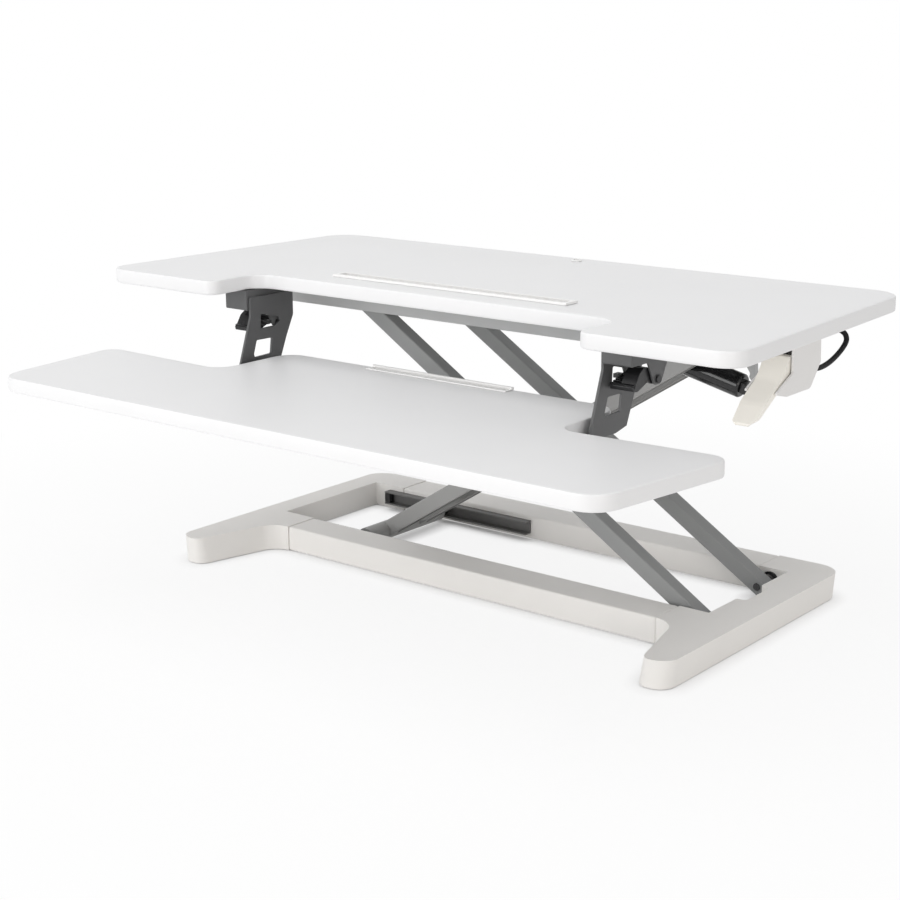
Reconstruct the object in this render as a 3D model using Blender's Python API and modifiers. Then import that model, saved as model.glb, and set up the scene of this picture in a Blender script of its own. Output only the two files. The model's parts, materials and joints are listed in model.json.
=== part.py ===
"""Standing desk converter: a worktop and a keyboard tray on a gas-strut scissor lift.

Run with: blender --background --python part.py
Metres, +Z up. X runs along the worktop, -Y is the side of the person who uses it, and
Z = 0 is the desk that it stands on. The lift is shown at its half-raised rest position.
"""

import math

import bmesh
import bpy
from mathutils import Matrix, Vector

# --- Clearances ---------------------------------------------------------------------------
GAP = 0.0003            # between two faces that touch on the real object
RUNNING = 0.0001        # radial play of a shaft that turns in its bore
TRACK_PLAY = 0.0003     # roller to track, each side
OVERCUT = 0.002         # how far a cutter reaches past the face it opens

# --- Scissor lift ---------------------------------------------------------------------------
LEG_LENGTH = 0.590      # pivot to pivot
LEG_ANGLE = math.radians(32.2)
LIFT_LOWEST = math.radians(7.5)
PIVOT_X = 0.296         # fixed pivots, base and top
BASE_PIVOT_Z = 0.018
LIFT_Y = 0.1625         # middle plane of the lift
TOP_PIVOT_Z = BASE_PIVOT_Z + LEG_LENGTH * math.sin(LEG_ANGLE)
MID_X = PIVOT_X - LEG_LENGTH / 2 * math.cos(LEG_ANGLE)
MID_Z = (BASE_PIVOT_Z + TOP_PIVOT_Z) / 2
ROLLER_X = PIVOT_X - LEG_LENGTH * math.cos(LEG_ANGLE)
ROLLER_X_LOWEST = PIVOT_X - LEG_LENGTH * math.cos(LIFT_LOWEST)

ARM_SECTION = 0.020     # square tube of both pairs of legs
ARM_WALL = 0.0018
ARM_OVERHANG = 0.012    # past each outer pivot
OUTER_ARM_Y = 0.0705    # middle of an outer arm from the middle plane
INNER_RAIL_WIDTH = 0.020
INNER_RAIL_Y = 0.030    # middle of an inner rail from the middle plane
INNER_OVERHANG = 0.008
LOW_CROSS_AT = 0.195    # along an outer arm from its base pivot
CROSS_RADIUS = 0.008

MID_SHAFT_RADIUS = 0.006
TOP_SHAFT_RADIUS = 0.005
BASE_PIN_RADIUS = 0.004
JOURNAL_RADIUS = 0.004
FOOT_TUBE_RADIUS = 0.012

# --- Rollers and tracks ---------------------------------------------------------------------
TOP_ROLLER_RADIUS = 0.0094
LOW_ROLLER_RADIUS = 0.0067
SHEET = 0.002           # sheet steel of tracks, rails and brackets

# --- Worktop and tray -------------------------------------------------------------------------
BOARD = 0.018           # thickness of both boards
BOARD_EDGE = 0.003      # softened edges
TOP_UNDERSIDE = 0.355
TOP_FRONT = -0.113
TOP_REAR = 0.303
TOP_HALF_FRONT = 0.450
TOP_HALF_REAR = 0.427
RECESS_DEPTH = 0.080
RECESS_HALF = 0.264
TRAY_TOP = 0.271
TRAY_FRONT = -0.306
TRAY_HALF_FRONT = 0.424
TRAY_HALF_REAR = 0.450
TRAY_WING_REAR = -0.1105
TONGUE_HALF = 0.246
TONGUE_REAR = 0.0

# --- Base -----------------------------------------------------------------------------------------
BASE_TOP = 0.033
BASE_LOW = 0.001        # underside of the frame over the desk
PAD_HEIGHT = 0.002
BASE_HALF = 0.3635
BASE_DRAFT = 0.003      # lean of the outer sides
TOE_DRAFT = 0.006       # lean of a toe's inner side
BASE_WALL = 0.003
FRONT_BAR = (0.024, 0.0735)
REAR_BAR = (0.2557, 0.306)
BAR_HALF = 0.281
TOE_FRONT = -0.0875
TOE_INNER = (0.3275, 0.3015)        # inner side of a toe, at its front and at the bar

# --- Hangers, sockets and quick-release levers ----------------------------------------------------
HANGER_INNER = 0.256
HANGER_THICK = 0.003
SOCKET_OUTER = 0.295
LEVER_PIN = (-0.0067, 0.310)
LEVER_PIN_RADIUS = 0.003
LEVER_HEAD_RADIUS = 0.0045

# --- Handle ----------------------------------------------------------------------------------------
HANDLE_INNER = 0.398
HANDLE_OUTER = 0.435
HANDLE_WALL = 0.0025
HANDLE_PIN = (0.034, 0.338)
HANDLE_PIN_RADIUS = 0.003
BARREL_RADIUS = 0.007
CABLE_RADIUS = 0.0029
CABLE_EXIT_Z = 0.3205

# --- Gas strut ---------------------------------------------------------------------------------------
STRUT_PIN = (0.105, 0.320)          # on the top frame
CRANK_PIN = (0.322, 0.268)          # on the inner legs
STRUT_PIN_RADIUS = 0.004
CRANK_PLAY = 0.0034                 # open pivot: the clevis runs loose on the crank pin
STRUT_RADIUS = 0.014
ROD_RADIUS = 0.005
STRUT_DX = CRANK_PIN[0] - STRUT_PIN[0]
STRUT_DZ = CRANK_PIN[1] - STRUT_PIN[1]
STRUT_LENGTH = math.hypot(STRUT_DX, STRUT_DZ)
STRUT_SLOPE = math.atan2(-STRUT_DZ, STRUT_DX)

ARC_STEP = math.radians(15)


# --- Scene, frames and materials ----------------------------------------------------------------------
def clear_scene():
    for obj in list(bpy.data.objects):
        bpy.data.objects.remove(obj, do_unlink=True)


def new_collection(name):
    collection = bpy.data.collections.new(name)
    bpy.context.scene.collection.children.link(collection)
    return collection


clear_scene()
PARTS = new_collection("standing_desk_converter")
CUTTERS = new_collection("cutters")


def material(name, colour, roughness, metallic=0.0):
    made = bpy.data.materials.new(name)
    made.use_nodes = True
    shader = made.node_tree.nodes["Principled BSDF"]
    shader.inputs["Base Color"].default_value = (*colour, 1.0)
    shader.inputs["Roughness"].default_value = roughness
    shader.inputs["Metallic"].default_value = metallic
    made.diffuse_color = (*colour, 1.0)
    return made


WHITE_BOARD = material("white_laminate", (0.80, 0.80, 0.81), 0.45)
WHITE_PLASTIC = material("white_plastic", (0.83, 0.83, 0.82), 0.35)
CREAM_PAINT = material("cream_paint", (0.80, 0.78, 0.74), 0.45)
GREY_PAINT = material("grey_paint", (0.30, 0.31, 0.31), 0.45)
SILVER_PAINT = material("silver_paint", (0.46, 0.47, 0.48), 0.40)
CHARCOAL_PAINT = material("charcoal_paint", (0.10, 0.10, 0.11), 0.50)
BLACK_PLASTIC = material("black_plastic", (0.02, 0.02, 0.022), 0.40)
BLACK_STEEL = material("black_steel", (0.015, 0.015, 0.017), 0.25)
STEEL = material("bright_steel", (0.62, 0.62, 0.63), 0.30, 1.0)
IVORY_PLASTIC = material("ivory_plastic", (0.85, 0.82, 0.76), 0.40)
RUBBER = material("black_rubber", (0.02, 0.02, 0.02), 0.85)


class Frame:
    """A moving body's empty on its joint axis. Pieces are drawn about `drawn_at`."""

    def __init__(self, name, pivot=(0.0, 0.0, 0.0), turn=0.0, drawn_at_pivot=False):
        self.empty = bpy.data.objects.new(name, None)
        self.empty.location = pivot
        self.empty.rotation_euler = (0.0, turn, 0.0)
        self.empty.empty_display_size = 0.03
        PARTS.objects.link(self.empty)
        self.offset = Vector((0.0, 0.0, 0.0)) if drawn_at_pivot else -Vector(pivot)

    def hold(self, obj):
        obj.parent = self.empty
        obj.matrix_basis = Matrix.Translation(self.offset) @ obj.matrix_basis


BASE = Frame("base_frame")
OUTER = Frame("outer_legs_axis", (PIVOT_X, LIFT_Y, BASE_PIVOT_Z), LEG_ANGLE, True)
INNER = Frame("inner_legs_axis", (MID_X, LIFT_Y, MID_Z), -LEG_ANGLE, True)
TOP = Frame("top_axis", (PIVOT_X, LIFT_Y, TOP_PIVOT_Z))
STRUT = Frame("strut_axis", (STRUT_PIN[0], LIFT_Y, STRUT_PIN[1]), STRUT_SLOPE, True)
HANDLE = Frame("handle_axis", (HANDLE_OUTER, *HANDLE_PIN))


# --- Shapes ----------------------------------------------------------------------------------------------
def place(obj, frame, surface):
    """Puts a finished piece, or a cutter when it has no surface, in its collection and frame."""
    frame.hold(obj)
    if surface is None:
        CUTTERS.objects.link(obj)
        obj.hide_render = True
        obj.display_type = "WIRE"
    else:
        PARTS.objects.link(obj)
        obj.data.materials.clear()
        obj.data.materials.append(surface)
    return obj


def soften(obj, width, segments=2, limit=40):
    """Rounds the sharp edges of a piece."""
    if width:
        bevel = obj.modifiers.new("soft_edges", "BEVEL")
        bevel.width = width
        bevel.segments = segments
        bevel.limit_method = "ANGLE"
        bevel.angle_limit = math.radians(limit)
    return obj


def smooth(obj):
    obj.data.shade_smooth()
    obj.data.set_sharp_from_angle(angle=math.radians(35))
    return obj


def box(name, x, y, z, frame, surface=None, edge=0.0):
    """A block between the limits in x, y and z."""
    mesh = bpy.data.meshes.new(name)
    shape = bmesh.new()
    size = Matrix.Diagonal((x[1] - x[0], y[1] - y[0], z[1] - z[0], 1.0))
    middle = Matrix.Translation((sum(x) / 2, sum(y) / 2, sum(z) / 2))
    bmesh.ops.create_cube(shape, size=1.0, matrix=middle @ size)
    shape.to_mesh(mesh)
    shape.free()
    return soften(place(bpy.data.objects.new(name, mesh), frame, surface), edge)


AXES = {
    "Z": Matrix.Identity(4),
    "X": Matrix(((0, 0, 1, 0), (1, 0, 0, 0), (0, 1, 0, 0), (0, 0, 0, 1))),
    "Y": Matrix(((1, 0, 0, 0), (0, 0, -1, 0), (0, 1, 0, 0), (0, 0, 0, 1))),
}


def cylinder(name, axis, across, along, radius, frame, surface=None, edge=0.0, sides=20):
    """A round bar. `across` is its centre in the other two directions, in x, y, z order."""
    mesh = bpy.data.meshes.new(name)
    shape = bmesh.new()
    bmesh.ops.create_cone(
        shape, cap_ends=True, segments=sides, radius1=radius, radius2=radius, depth=along[1] - along[0]
    )
    shape.to_mesh(mesh)
    shape.free()
    smooth_mesh = bpy.data.objects.new(name, mesh)
    middle = sum(along) / 2
    centre = {
        "X": (middle, across[0], across[1]),
        "Y": (across[0], middle, across[1]),
        "Z": (across[0], across[1], middle),
    }[axis]
    mesh.transform(Matrix.Translation(centre) @ AXES[axis])
    return soften(smooth(place(smooth_mesh, frame, surface)), edge)


def turned(name, profile, axis, across, frame, surface=None, sides=20):
    """A turned piece. `profile` holds (radius, place along the axis), down its outer side.

    A profile that starts and ends on the axis is solid, and any other one is a ring.
    """
    mesh = bpy.data.meshes.new(name)
    shape = bmesh.new()
    corners = [shape.verts.new((radius, 0.0, height)) for radius, height in profile]
    for first, second in zip(corners, corners[1:]):
        shape.edges.new((first, second))
    if profile[0][0] > 0.0:
        shape.edges.new((corners[-1], corners[0]))
    shape.to_mesh(mesh)
    shape.free()
    obj = bpy.data.objects.new(name, mesh)
    screw = obj.modifiers.new("turn", "SCREW")
    screw.steps = sides
    screw.render_steps = sides
    screw.use_merge_vertices = True
    screw.merge_threshold = 0.00005
    screw.use_smooth_shade = True
    centre = {
        "X": (0.0, across[0], across[1]),
        "Y": (across[0], 0.0, across[1]),
        "Z": (across[0], across[1], 0.0),
    }[axis]
    # AXES["Y"] points a plate's own z at -Y. Half a turn about X points it at +Y.
    turn = Matrix.Rotation(math.pi, 4, "X") @ AXES["Y"] if axis == "Y" else AXES[axis]
    obj.matrix_basis = Matrix.Translation(centre) @ turn
    return place(obj, frame, surface)


def rounded(corners):
    """Points of an outline whose corners (u, v, radius) are rounded by arcs."""
    points = []
    count = len(corners)
    for index, (u, v, radius) in enumerate(corners):
        here = Vector((u, v))
        before = (Vector(corners[index - 1][:2]) - here).normalized()
        after = (Vector(corners[(index + 1) % count][:2]) - here).normalized()
        turn = math.pi - before.angle(after)
        if radius <= 0.0 or turn < 0.01:
            points.append(here)
            continue
        reach = radius * math.tan(turn / 2)
        start = here + before * reach
        centre = here + (before + after).normalized() * radius / math.cos(turn / 2)
        spoke = start - centre
        sign = 1.0 if before.cross(after) < 0.0 else -1.0
        steps = max(2, round(turn / ARC_STEP))
        for step in range(steps + 1):
            angle = sign * turn * step / steps
            cos, sin = math.cos(angle), math.sin(angle)
            points.append(centre + Vector((spoke.x * cos - spoke.y * sin, spoke.x * sin + spoke.y * cos)))
    return points


def capsule(first, second, radius):
    """Corners of a strap with round ends about two points."""
    along = (Vector(second) - Vector(first)).normalized() * radius
    side = Vector((-along.y, along.x))
    ends = (
        Vector(first) - along + side,
        Vector(second) + along + side,
        Vector(second) + along - side,
        Vector(first) - along - side,
    )
    return [(end.x, end.y, radius * 0.98) for end in ends]


def mirrored(half):
    """The corners of a half outline at +X, followed by their mirror images."""
    return half + [(-u, v, radius) for u, v, radius in reversed(half)]


def plate(name, corners, axis, along, frame, surface=None, edge=0.0, reshape=None):
    """A flat outline, extruded along `axis` between two places."""
    curve = bpy.data.curves.new(name, "CURVE")
    curve.dimensions = "2D"
    curve.fill_mode = "BOTH"
    curve.extrude = (along[1] - along[0]) / 2
    points = rounded(corners)
    spline = curve.splines.new("POLY")
    spline.points.add(len(points) - 1)
    for target, point in zip(spline.points, points):
        target.co = (point.x, point.y, 0.0, 1.0)
    spline.use_cyclic_u = True
    drawn = bpy.data.objects.new(name + "_outline", curve)
    CUTTERS.objects.link(drawn)
    bpy.context.view_layer.update()
    mesh = bpy.data.meshes.new_from_object(drawn.evaluated_get(bpy.context.evaluated_depsgraph_get()))
    bpy.data.objects.remove(drawn, do_unlink=True)
    shape = bmesh.new()
    shape.from_mesh(mesh)
    bmesh.ops.remove_doubles(shape, verts=shape.verts, dist=0.000001)
    bmesh.ops.dissolve_limit(
        shape, angle_limit=math.radians(1), verts=shape.verts, edges=shape.edges, delimit={"NORMAL"}
    )
    bmesh.ops.recalc_face_normals(shape, faces=shape.faces)
    shape.to_mesh(mesh)
    shape.free()
    middle = sum(along) / 2
    centre = {"X": (middle, 0.0, 0.0), "Y": (0.0, middle, 0.0), "Z": (0.0, 0.0, middle)}[axis]
    mesh.transform(Matrix.Translation(centre) @ AXES[axis])
    if reshape:
        for vertex in mesh.vertices:
            vertex.co = reshape(vertex.co)
    mesh.name = name
    return soften(smooth(place(bpy.data.objects.new(name, mesh), frame, surface)), edge)


def combine(obj, other, operation):
    modifier = obj.modifiers.new(other.name, "BOOLEAN")
    modifier.operation = operation
    modifier.solver = "EXACT"
    modifier.object = other
    return obj


def cut(obj, *cutters):
    for cutter in cutters:
        combine(obj, cutter, "DIFFERENCE")
    return obj


def join(obj, *others):
    for other in others:
        combine(obj, other, "UNION")
    return obj


def both_sides(side, low, high):
    """The limits in x of a piece on the right (side 1), or of its mirror image on the left (side -1)."""
    return sorted((side * low, side * high))


# --- Boards ------------------------------------------------------------------------------------------------
def board_z(top):
    return (top - BOARD, top)


WORKTOP_Z = (TOP_UNDERSIDE, TOP_UNDERSIDE + BOARD)
TRAY_Z = board_z(TRAY_TOP)
TRAY_UNDERSIDE = TRAY_Z[0]

SLOT_HALF = 0.171       # device slot in the worktop
SLOT_Y = (0.001, 0.024)
SLOT_RIM = 0.0027       # how far a slot's rim stands over the tub
SLOT_DEPTH = 0.0155
TRAY_SLOT_HALF = 0.1035
TRAY_SLOT_Y = (-0.018, -0.002)
TRAY_SLOT_DEPTH = 0.012
RIM_HEIGHT = 0.0027
TRAY_LIP_HEIGHT = 0.0033
TUB_WALL = 0.0025
GROMMET_AT = (-0.008, 0.279)
GROMMET_HOLE = 0.0056
GROMMET_RIM = 0.0070
GROMMET_WALL = 0.0014


def slot_pocket(name, half, y, top, depth):
    """The pocket in a board that a slot's tub drops into."""
    reach = half - SLOT_RIM + GAP
    across = (y[0] + SLOT_RIM - GAP, y[1] - SLOT_RIM + GAP)
    return box(name, (-reach, reach), across, (top - depth - GAP, top + OVERCUT), TOP)


def make_worktop():
    half = [
        (TOP_HALF_REAR, TOP_REAR, 0.040),
        (TOP_HALF_FRONT, TOP_FRONT, 0.027),
        (RECESS_HALF - 0.003, TOP_FRONT, 0.016),
        (RECESS_HALF, TOP_FRONT + RECESS_DEPTH, 0.025),
    ]
    worktop = plate("worktop", mirrored(half), "Z", WORKTOP_Z, TOP, WHITE_BOARD)
    soften(worktop, BOARD_EDGE)
    pocket = slot_pocket("slot_pocket", SLOT_HALF, SLOT_Y, WORKTOP_Z[1], SLOT_DEPTH)
    hole_z = (WORKTOP_Z[0] - OVERCUT, WORKTOP_Z[1] + OVERCUT)
    hole = cylinder("grommet_hole", "Z", GROMMET_AT, hole_z, GROMMET_HOLE, TOP)
    return cut(worktop, pocket, hole)


def make_slot(name, half, y, board_top, depth, front, rear):
    """A slot insert: a tub with a front and a rear lip, each (height, width) over the board."""
    low = board_top + GAP
    bottom = board_top - depth
    tub = (y[0] + SLOT_RIM, y[1] - SLOT_RIM)
    corners = [
        (tub[0], low, 0.0),
        (tub[0], bottom, 0.001),
        (tub[1], bottom, 0.001),
        (tub[1], low, 0.0),
        (y[1], low, 0.0),
        (y[1], low + rear[0], 0.0009),
    ]
    if rear[0] > front[0]:
        corners += [(y[1] - rear[1], low + rear[0], 0.0009), (y[1] - rear[1], low + front[0], 0.0)]
    corners += [(y[0], low + front[0], 0.0009), (y[0], low, 0.0)]
    slot = plate(name, corners, "X", (-half, half), TOP, WHITE_PLASTIC)
    tub_end = half - SLOT_RIM
    for side, end in ((-1, "left"), (1, "right")):
        x = sorted((side * tub_end, side * (half + OVERCUT)))
        below = (bottom - OVERCUT, low + GAP / 3)
        cut(slot, box(f"{name}_{end}_end", x, (y[0] - OVERCUT, y[1] + OVERCUT), below, TOP))
    groove_x = tub_end - TUB_WALL
    groove_y = (y[0] + front[1], y[1] - rear[1])
    groove_z = (bottom + TUB_WALL, board_top + 0.01)
    return cut(slot, box(name + "_groove", (-groove_x, groove_x), groove_y, groove_z, TOP))


def make_grommet():
    top = WORKTOP_Z[1] + GAP
    sleeve = GROMMET_HOLE - GAP
    profile = [
        (GROMMET_RIM - 0.0006, top + 0.0016),
        (GROMMET_RIM, top + 0.001),
        (GROMMET_RIM, top),
        (sleeve, top),
        (sleeve, WORKTOP_Z[0] - 0.001),
        (sleeve - GROMMET_WALL, WORKTOP_Z[0] - 0.001),
        (sleeve - GROMMET_WALL, top + 0.0016),
    ]
    return turned("cable_grommet", profile, "Z", GROMMET_AT, TOP, WHITE_PLASTIC)


def make_tray():
    half = [
        (TONGUE_HALF, TONGUE_REAR, 0.029),
        (TONGUE_HALF, TRAY_WING_REAR - 0.009, 0.022),
        (TRAY_HALF_REAR, TRAY_WING_REAR, 0.020),
        (TRAY_HALF_FRONT, TRAY_FRONT, 0.032),
    ]
    tray = plate("keyboard_tray", mirrored(half), "Z", TRAY_Z, TOP, WHITE_BOARD)
    soften(tray, BOARD_EDGE)
    pocket = slot_pocket("tray_slot_pocket", TRAY_SLOT_HALF, TRAY_SLOT_Y, TRAY_Z[1], TRAY_SLOT_DEPTH)
    return cut(tray, pocket)


# --- Base -----------------------------------------------------------------------------------------------------
PAD_RADIUS = 0.013
PAD_PLACES = ((0.337, -0.056), (0.339, 0.279))
FOOT_Z = (BASE_LOW, BASE_TOP)
POCKET_Z = (BASE_LOW - OVERCUT, BASE_TOP - BASE_WALL)
BASE_EDGE = 0.0028
DRAFT_FROM = 0.345      # a foot's outer side leans from here outward, its toe's inner side from here inward
TOE_RUN = 0.030         # the toe's lean fades out over this length before the bar
LEFT_FOOT_INNER = 0.331
RIGHT_FOOT_INNER = 0.319
STRUT_BAY_HALF = 0.028  # notch in the right foot, opposite the strut
BAY_SPLIT_Y = (0.115, 0.121)        # rib between the two bays of a foot
TOE_SOLID = 0.050       # solid front end of a foot, over its pad
REAR_BAY_END = 0.252


def draft(co):
    """Leans the outer side of a foot, and the inner side of its toe, with height."""
    rise = (co.z - FOOT_Z[0]) / (FOOT_Z[1] - FOOT_Z[0])
    out = abs(co.x) - DRAFT_FROM
    if out > 0.0:
        shift = -BASE_DRAFT * out / (BASE_HALF - DRAFT_FROM)
    else:
        across = min(1.0, -out / (DRAFT_FROM - TOE_INNER[0]))
        ahead = min(1.0, max(0.0, (FRONT_BAR[0] - co.y) / TOE_RUN))
        shift = TOE_DRAFT * across * ahead
    return Vector((co.x + math.copysign(shift * rise, co.x), co.y, co.z))


def make_foot(side):
    right = side > 0
    inner = RIGHT_FOOT_INNER if right else LEFT_FOOT_INNER
    opening = [(inner, FRONT_BAR[1], 0.0), (BAR_HALF, FRONT_BAR[1], 0.0)]
    if right:
        bay = (LIFT_Y - STRUT_BAY_HALF, LIFT_Y + STRUT_BAY_HALF)
        opening = [
            (inner, bay[1], 0.003),
            (LEFT_FOOT_INNER, bay[1], 0.005),
            (LEFT_FOOT_INNER, bay[0], 0.005),
            (inner, bay[0], 0.003),
        ] + opening
    corners = [
        (BASE_HALF, TOE_FRONT, 0.020),
        (BASE_HALF, REAR_BAR[1], 0.027),
        (BAR_HALF, REAR_BAR[1], 0.0),
        (BAR_HALF, REAR_BAR[0], 0.0),
        (inner, REAR_BAR[0], 0.0),
        *opening,
        (BAR_HALF, FRONT_BAR[0], 0.0),
        (TOE_INNER[1], FRONT_BAR[0], 0.026),
        (TOE_INNER[0], TOE_FRONT, 0.015),
    ]
    name = "foot_right" if right else "foot_left"
    outline = [(side * u, v, radius) for u, v, radius in corners]
    foot = plate(name, outline, "Z", FOOT_Z, BASE, CREAM_PAINT, reshape=draft)
    soften(foot, BASE_EDGE)
    bay_x = both_sides(side, LEFT_FOOT_INNER + BASE_WALL, BASE_HALF - BASE_DRAFT - BASE_WALL)
    bays = ((TOE_FRONT + TOE_SOLID, BAY_SPLIT_Y[0]), (BAY_SPLIT_Y[1], REAR_BAY_END))
    for number, y in enumerate(bays):
        cut(foot, box(f"{name}_bay_{number}", bay_x, y, POCKET_Z, BASE))
    corner_end = min(inner, PAD_PLACES[1][0] - PAD_RADIUS) - BASE_WALL
    corner_x = both_sides(side, BAR_HALF + BASE_WALL, corner_end)
    for label, y in (("front", FRONT_BAR), ("rear", REAR_BAR)):
        y = (y[0] + BASE_WALL, y[1] - BASE_WALL)
        cut(foot, box(f"{name}_{label}_corner", corner_x, y, POCKET_Z, BASE))
    recess_z = (BASE_LOW - OVERCUT, PAD_HEIGHT + GAP)
    for (x, y), end in zip(PAD_PLACES, ("front", "rear")):
        recess = cylinder(f"{name}_{end}_recess", "Z", (side * x, y), recess_z, PAD_RADIUS + GAP, BASE)
        cut(foot, recess)
    return foot


def make_bar(name, y):
    reach = BAR_HALF - GAP
    bar = box(name, (-reach, reach), y, FOOT_Z, BASE, CREAM_PAINT)
    soften(bar, BASE_EDGE)
    bay_x = (BASE_WALL - reach, reach - BASE_WALL)
    return cut(bar, box(name + "_bay", bay_x, (y[0] + BASE_WALL, y[1] - BASE_WALL), POCKET_Z, BASE))


def make_pads():
    for side, label in ((-1, "left"), (1, "right")):
        for (x, y), end in zip(PAD_PLACES, ("front", "rear")):
            z = (0.0, PAD_HEIGHT)
            cylinder(f"rubber_pad_{label}_{end}", "Z", (side * x, y), z, PAD_RADIUS, BASE, RUBBER)


LOW_TRACK_X = (-0.305, -0.060)
LOW_TRACK_DEPTH = 0.012
END_STOP = ROLLER_X_LOWEST - LOW_ROLLER_RADIUS - GAP - LOW_TRACK_X[0]
FRONT_TRACK_Y = (FRONT_BAR[1] + GAP, FRONT_BAR[1] + GAP + LOW_TRACK_DEPTH)
REAR_TRACK_Y = (REAR_BAR[0] - GAP - LOW_TRACK_DEPTH, REAR_BAR[0] - GAP)
LOW_GROOVE = LOW_ROLLER_RADIUS + TRACK_PLAY
ROLLER_WIDTH = 0.009
SIDE_PLAY = 0.0005


def make_low_track(name, y, open_side):
    """A C section on the inner side of a bar, open toward the lift."""
    half = LOW_GROOVE + SHEET
    z = (BASE_PIVOT_Z - half, BASE_PIVOT_Z + half)
    track = box(name, LOW_TRACK_X, y, z, BASE, STEEL)
    groove_y = (y[0] + SHEET, y[1] + OVERCUT) if open_side > 0 else (y[0] - OVERCUT, y[1] - SHEET)
    groove_x = (LOW_TRACK_X[0] - OVERCUT, LOW_TRACK_X[1] + OVERCUT)
    groove_z = (BASE_PIVOT_Z - LOW_GROOVE, BASE_PIVOT_Z + LOW_GROOVE)
    return cut(track, box(name + "_groove", groove_x, groove_y, groove_z, BASE))


def make_end_stop(name, track_y, open_side):
    web = SHEET + GAP
    y = (track_y[0] + web, track_y[1]) if open_side > 0 else (track_y[0], track_y[1] - web)
    half = LOW_GROOVE - GAP
    x = (LOW_TRACK_X[0], LOW_TRACK_X[0] + END_STOP)
    return box(name, x, y, (BASE_PIVOT_Z - half, BASE_PIVOT_Z + half), BASE, BLACK_PLASTIC, 0.001)


ARM_Y = {"front": LIFT_Y - OUTER_ARM_Y, "rear": LIFT_Y + OUTER_ARM_Y}
ARM_HALF = ARM_SECTION / 2
PIN_FLANGE = (0.011, 0.0025)        # radius and thickness
PIN_BODY_RADIUS = 0.009
PIN_HEAD = (0.0046, 0.0012)


def make_base_pin(name, bar_face, arm_y, toward):
    """A shouldered pin from the inner side of a bar through the end of an outer arm."""
    near = arm_y - toward * (ARM_HALF + GAP)
    far = arm_y + toward * (ARM_HALF + GAP)
    places = [
        (0.0, bar_face + toward * GAP),
        (PIN_FLANGE[0], bar_face + toward * GAP),
        (PIN_FLANGE[0], bar_face + toward * (GAP + PIN_FLANGE[1])),
        (PIN_BODY_RADIUS, bar_face + toward * (GAP + PIN_FLANGE[1])),
        (PIN_BODY_RADIUS, near),
        (BASE_PIN_RADIUS, near),
        (BASE_PIN_RADIUS, far),
        (PIN_HEAD[0], far),
        (PIN_HEAD[0], far + toward * PIN_HEAD[1]),
        (0.0, far + toward * PIN_HEAD[1]),
    ]
    if toward > 0:
        places.reverse()
    return turned(name, places, "Y", (PIVOT_X, BASE_PIVOT_Z), BASE, BLACK_STEEL)


# --- Outer legs: drawn along -X from the base pivots -----------------------------------------------------------
def arm_bore(name, along, y, radius, frame):
    reach = (y - ARM_SECTION, y + ARM_SECTION)
    return cylinder(name, "Y", (along, 0.0), reach, radius, frame)


def make_outer_arm(name, y):
    """A square tube with its hollow open at both ends, bored for its pivots and shafts."""
    ends = (-LEG_LENGTH - ARM_OVERHANG, ARM_OVERHANG)
    half = ARM_HALF
    inside = half - ARM_WALL
    arm = box(name, ends, (y - half, y + half), (-half, half), OUTER, GREY_PAINT)
    soften(arm, 0.0018, 2)
    hollow_x = (ends[0] - OVERCUT, ends[1] + OVERCUT)
    hollow = box(name + "_hollow", hollow_x, (y - inside, y + inside), (-inside, inside), OUTER)
    bores = (
        arm_bore(name + "_base_bore", 0.0, y, BASE_PIN_RADIUS + RUNNING, OUTER),
        arm_bore(name + "_mid_bore", -LEG_LENGTH / 2, y, MID_SHAFT_RADIUS + GAP, OUTER),
        arm_bore(name + "_roller_bore", -LEG_LENGTH, y, JOURNAL_RADIUS + GAP, OUTER),
    )
    return cut(arm, hollow, *bores)


TOP_TRACK_DEPTH = 0.0124
TOP_TRACK_INNER = OUTER_ARM_Y + ARM_HALF + 0.0006     # from the middle plane
TOP_TRACK_OUTER = TOP_TRACK_INNER + TOP_TRACK_DEPTH
ROLLER_TOP_Y = OUTER_ARM_Y + ARM_HALF + GAP + SIDE_PLAY


def make_outer_shafts():
    """The low cross tube, the shaft that carries the upper rollers and the middle shaft."""
    between = OUTER_ARM_Y - ARM_HALF - GAP
    cylinder(
        "outer_cross_tube", "Y", (-LOW_CROSS_AT, 0.0), (-between, between), CROSS_RADIUS, OUTER, GREY_PAINT
    )
    tip = TOP_TRACK_OUTER - SHEET - SIDE_PLAY
    profile = [
        (0.0, tip),
        (JOURNAL_RADIUS, tip),
        (JOURNAL_RADIUS, between),
        (CROSS_RADIUS, between),
        (CROSS_RADIUS, -between),
        (JOURNAL_RADIUS, -between),
        (JOURNAL_RADIUS, -tip),
        (0.0, -tip),
    ]
    turned("upper_roller_shaft", profile, "Y", (-LEG_LENGTH, 0.0), OUTER, STEEL)
    reach = OUTER_ARM_Y + ARM_HALF
    cylinder(
        "middle_shaft", "Y", (-LEG_LENGTH / 2, 0.0), (-reach, reach), MID_SHAFT_RADIUS, OUTER, STEEL
    )


# --- Inner legs: drawn along X about the middle shaft ---------------------------------------------------------------
HALF_LEG = LEG_LENGTH / 2
RAIL_START = -HALF_LEG + 0.004
RAIL_END = HALF_LEG + INNER_OVERHANG
RAIL_WALL = 0.0022
BAY_HALF = INNER_RAIL_Y - INNER_RAIL_WIDTH / 2      # clear half width between the inner rails
FOOT_TUBE_HALF = 0.0745     # half the foot tube's length, between its journals
STRAPS = {"lower": -0.205, "upper": -0.070}         # where each starts along the rails
STRAP_LENGTH = 0.034
STRAP_HALF = 0.002
CRANK_HUB_RADIUS = 0.009
CRANK_PLAY_SIDE = 0.0004
CRANK_PLATE_HALF = 0.003
CRANK_PIN_HALF = 0.009


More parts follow.
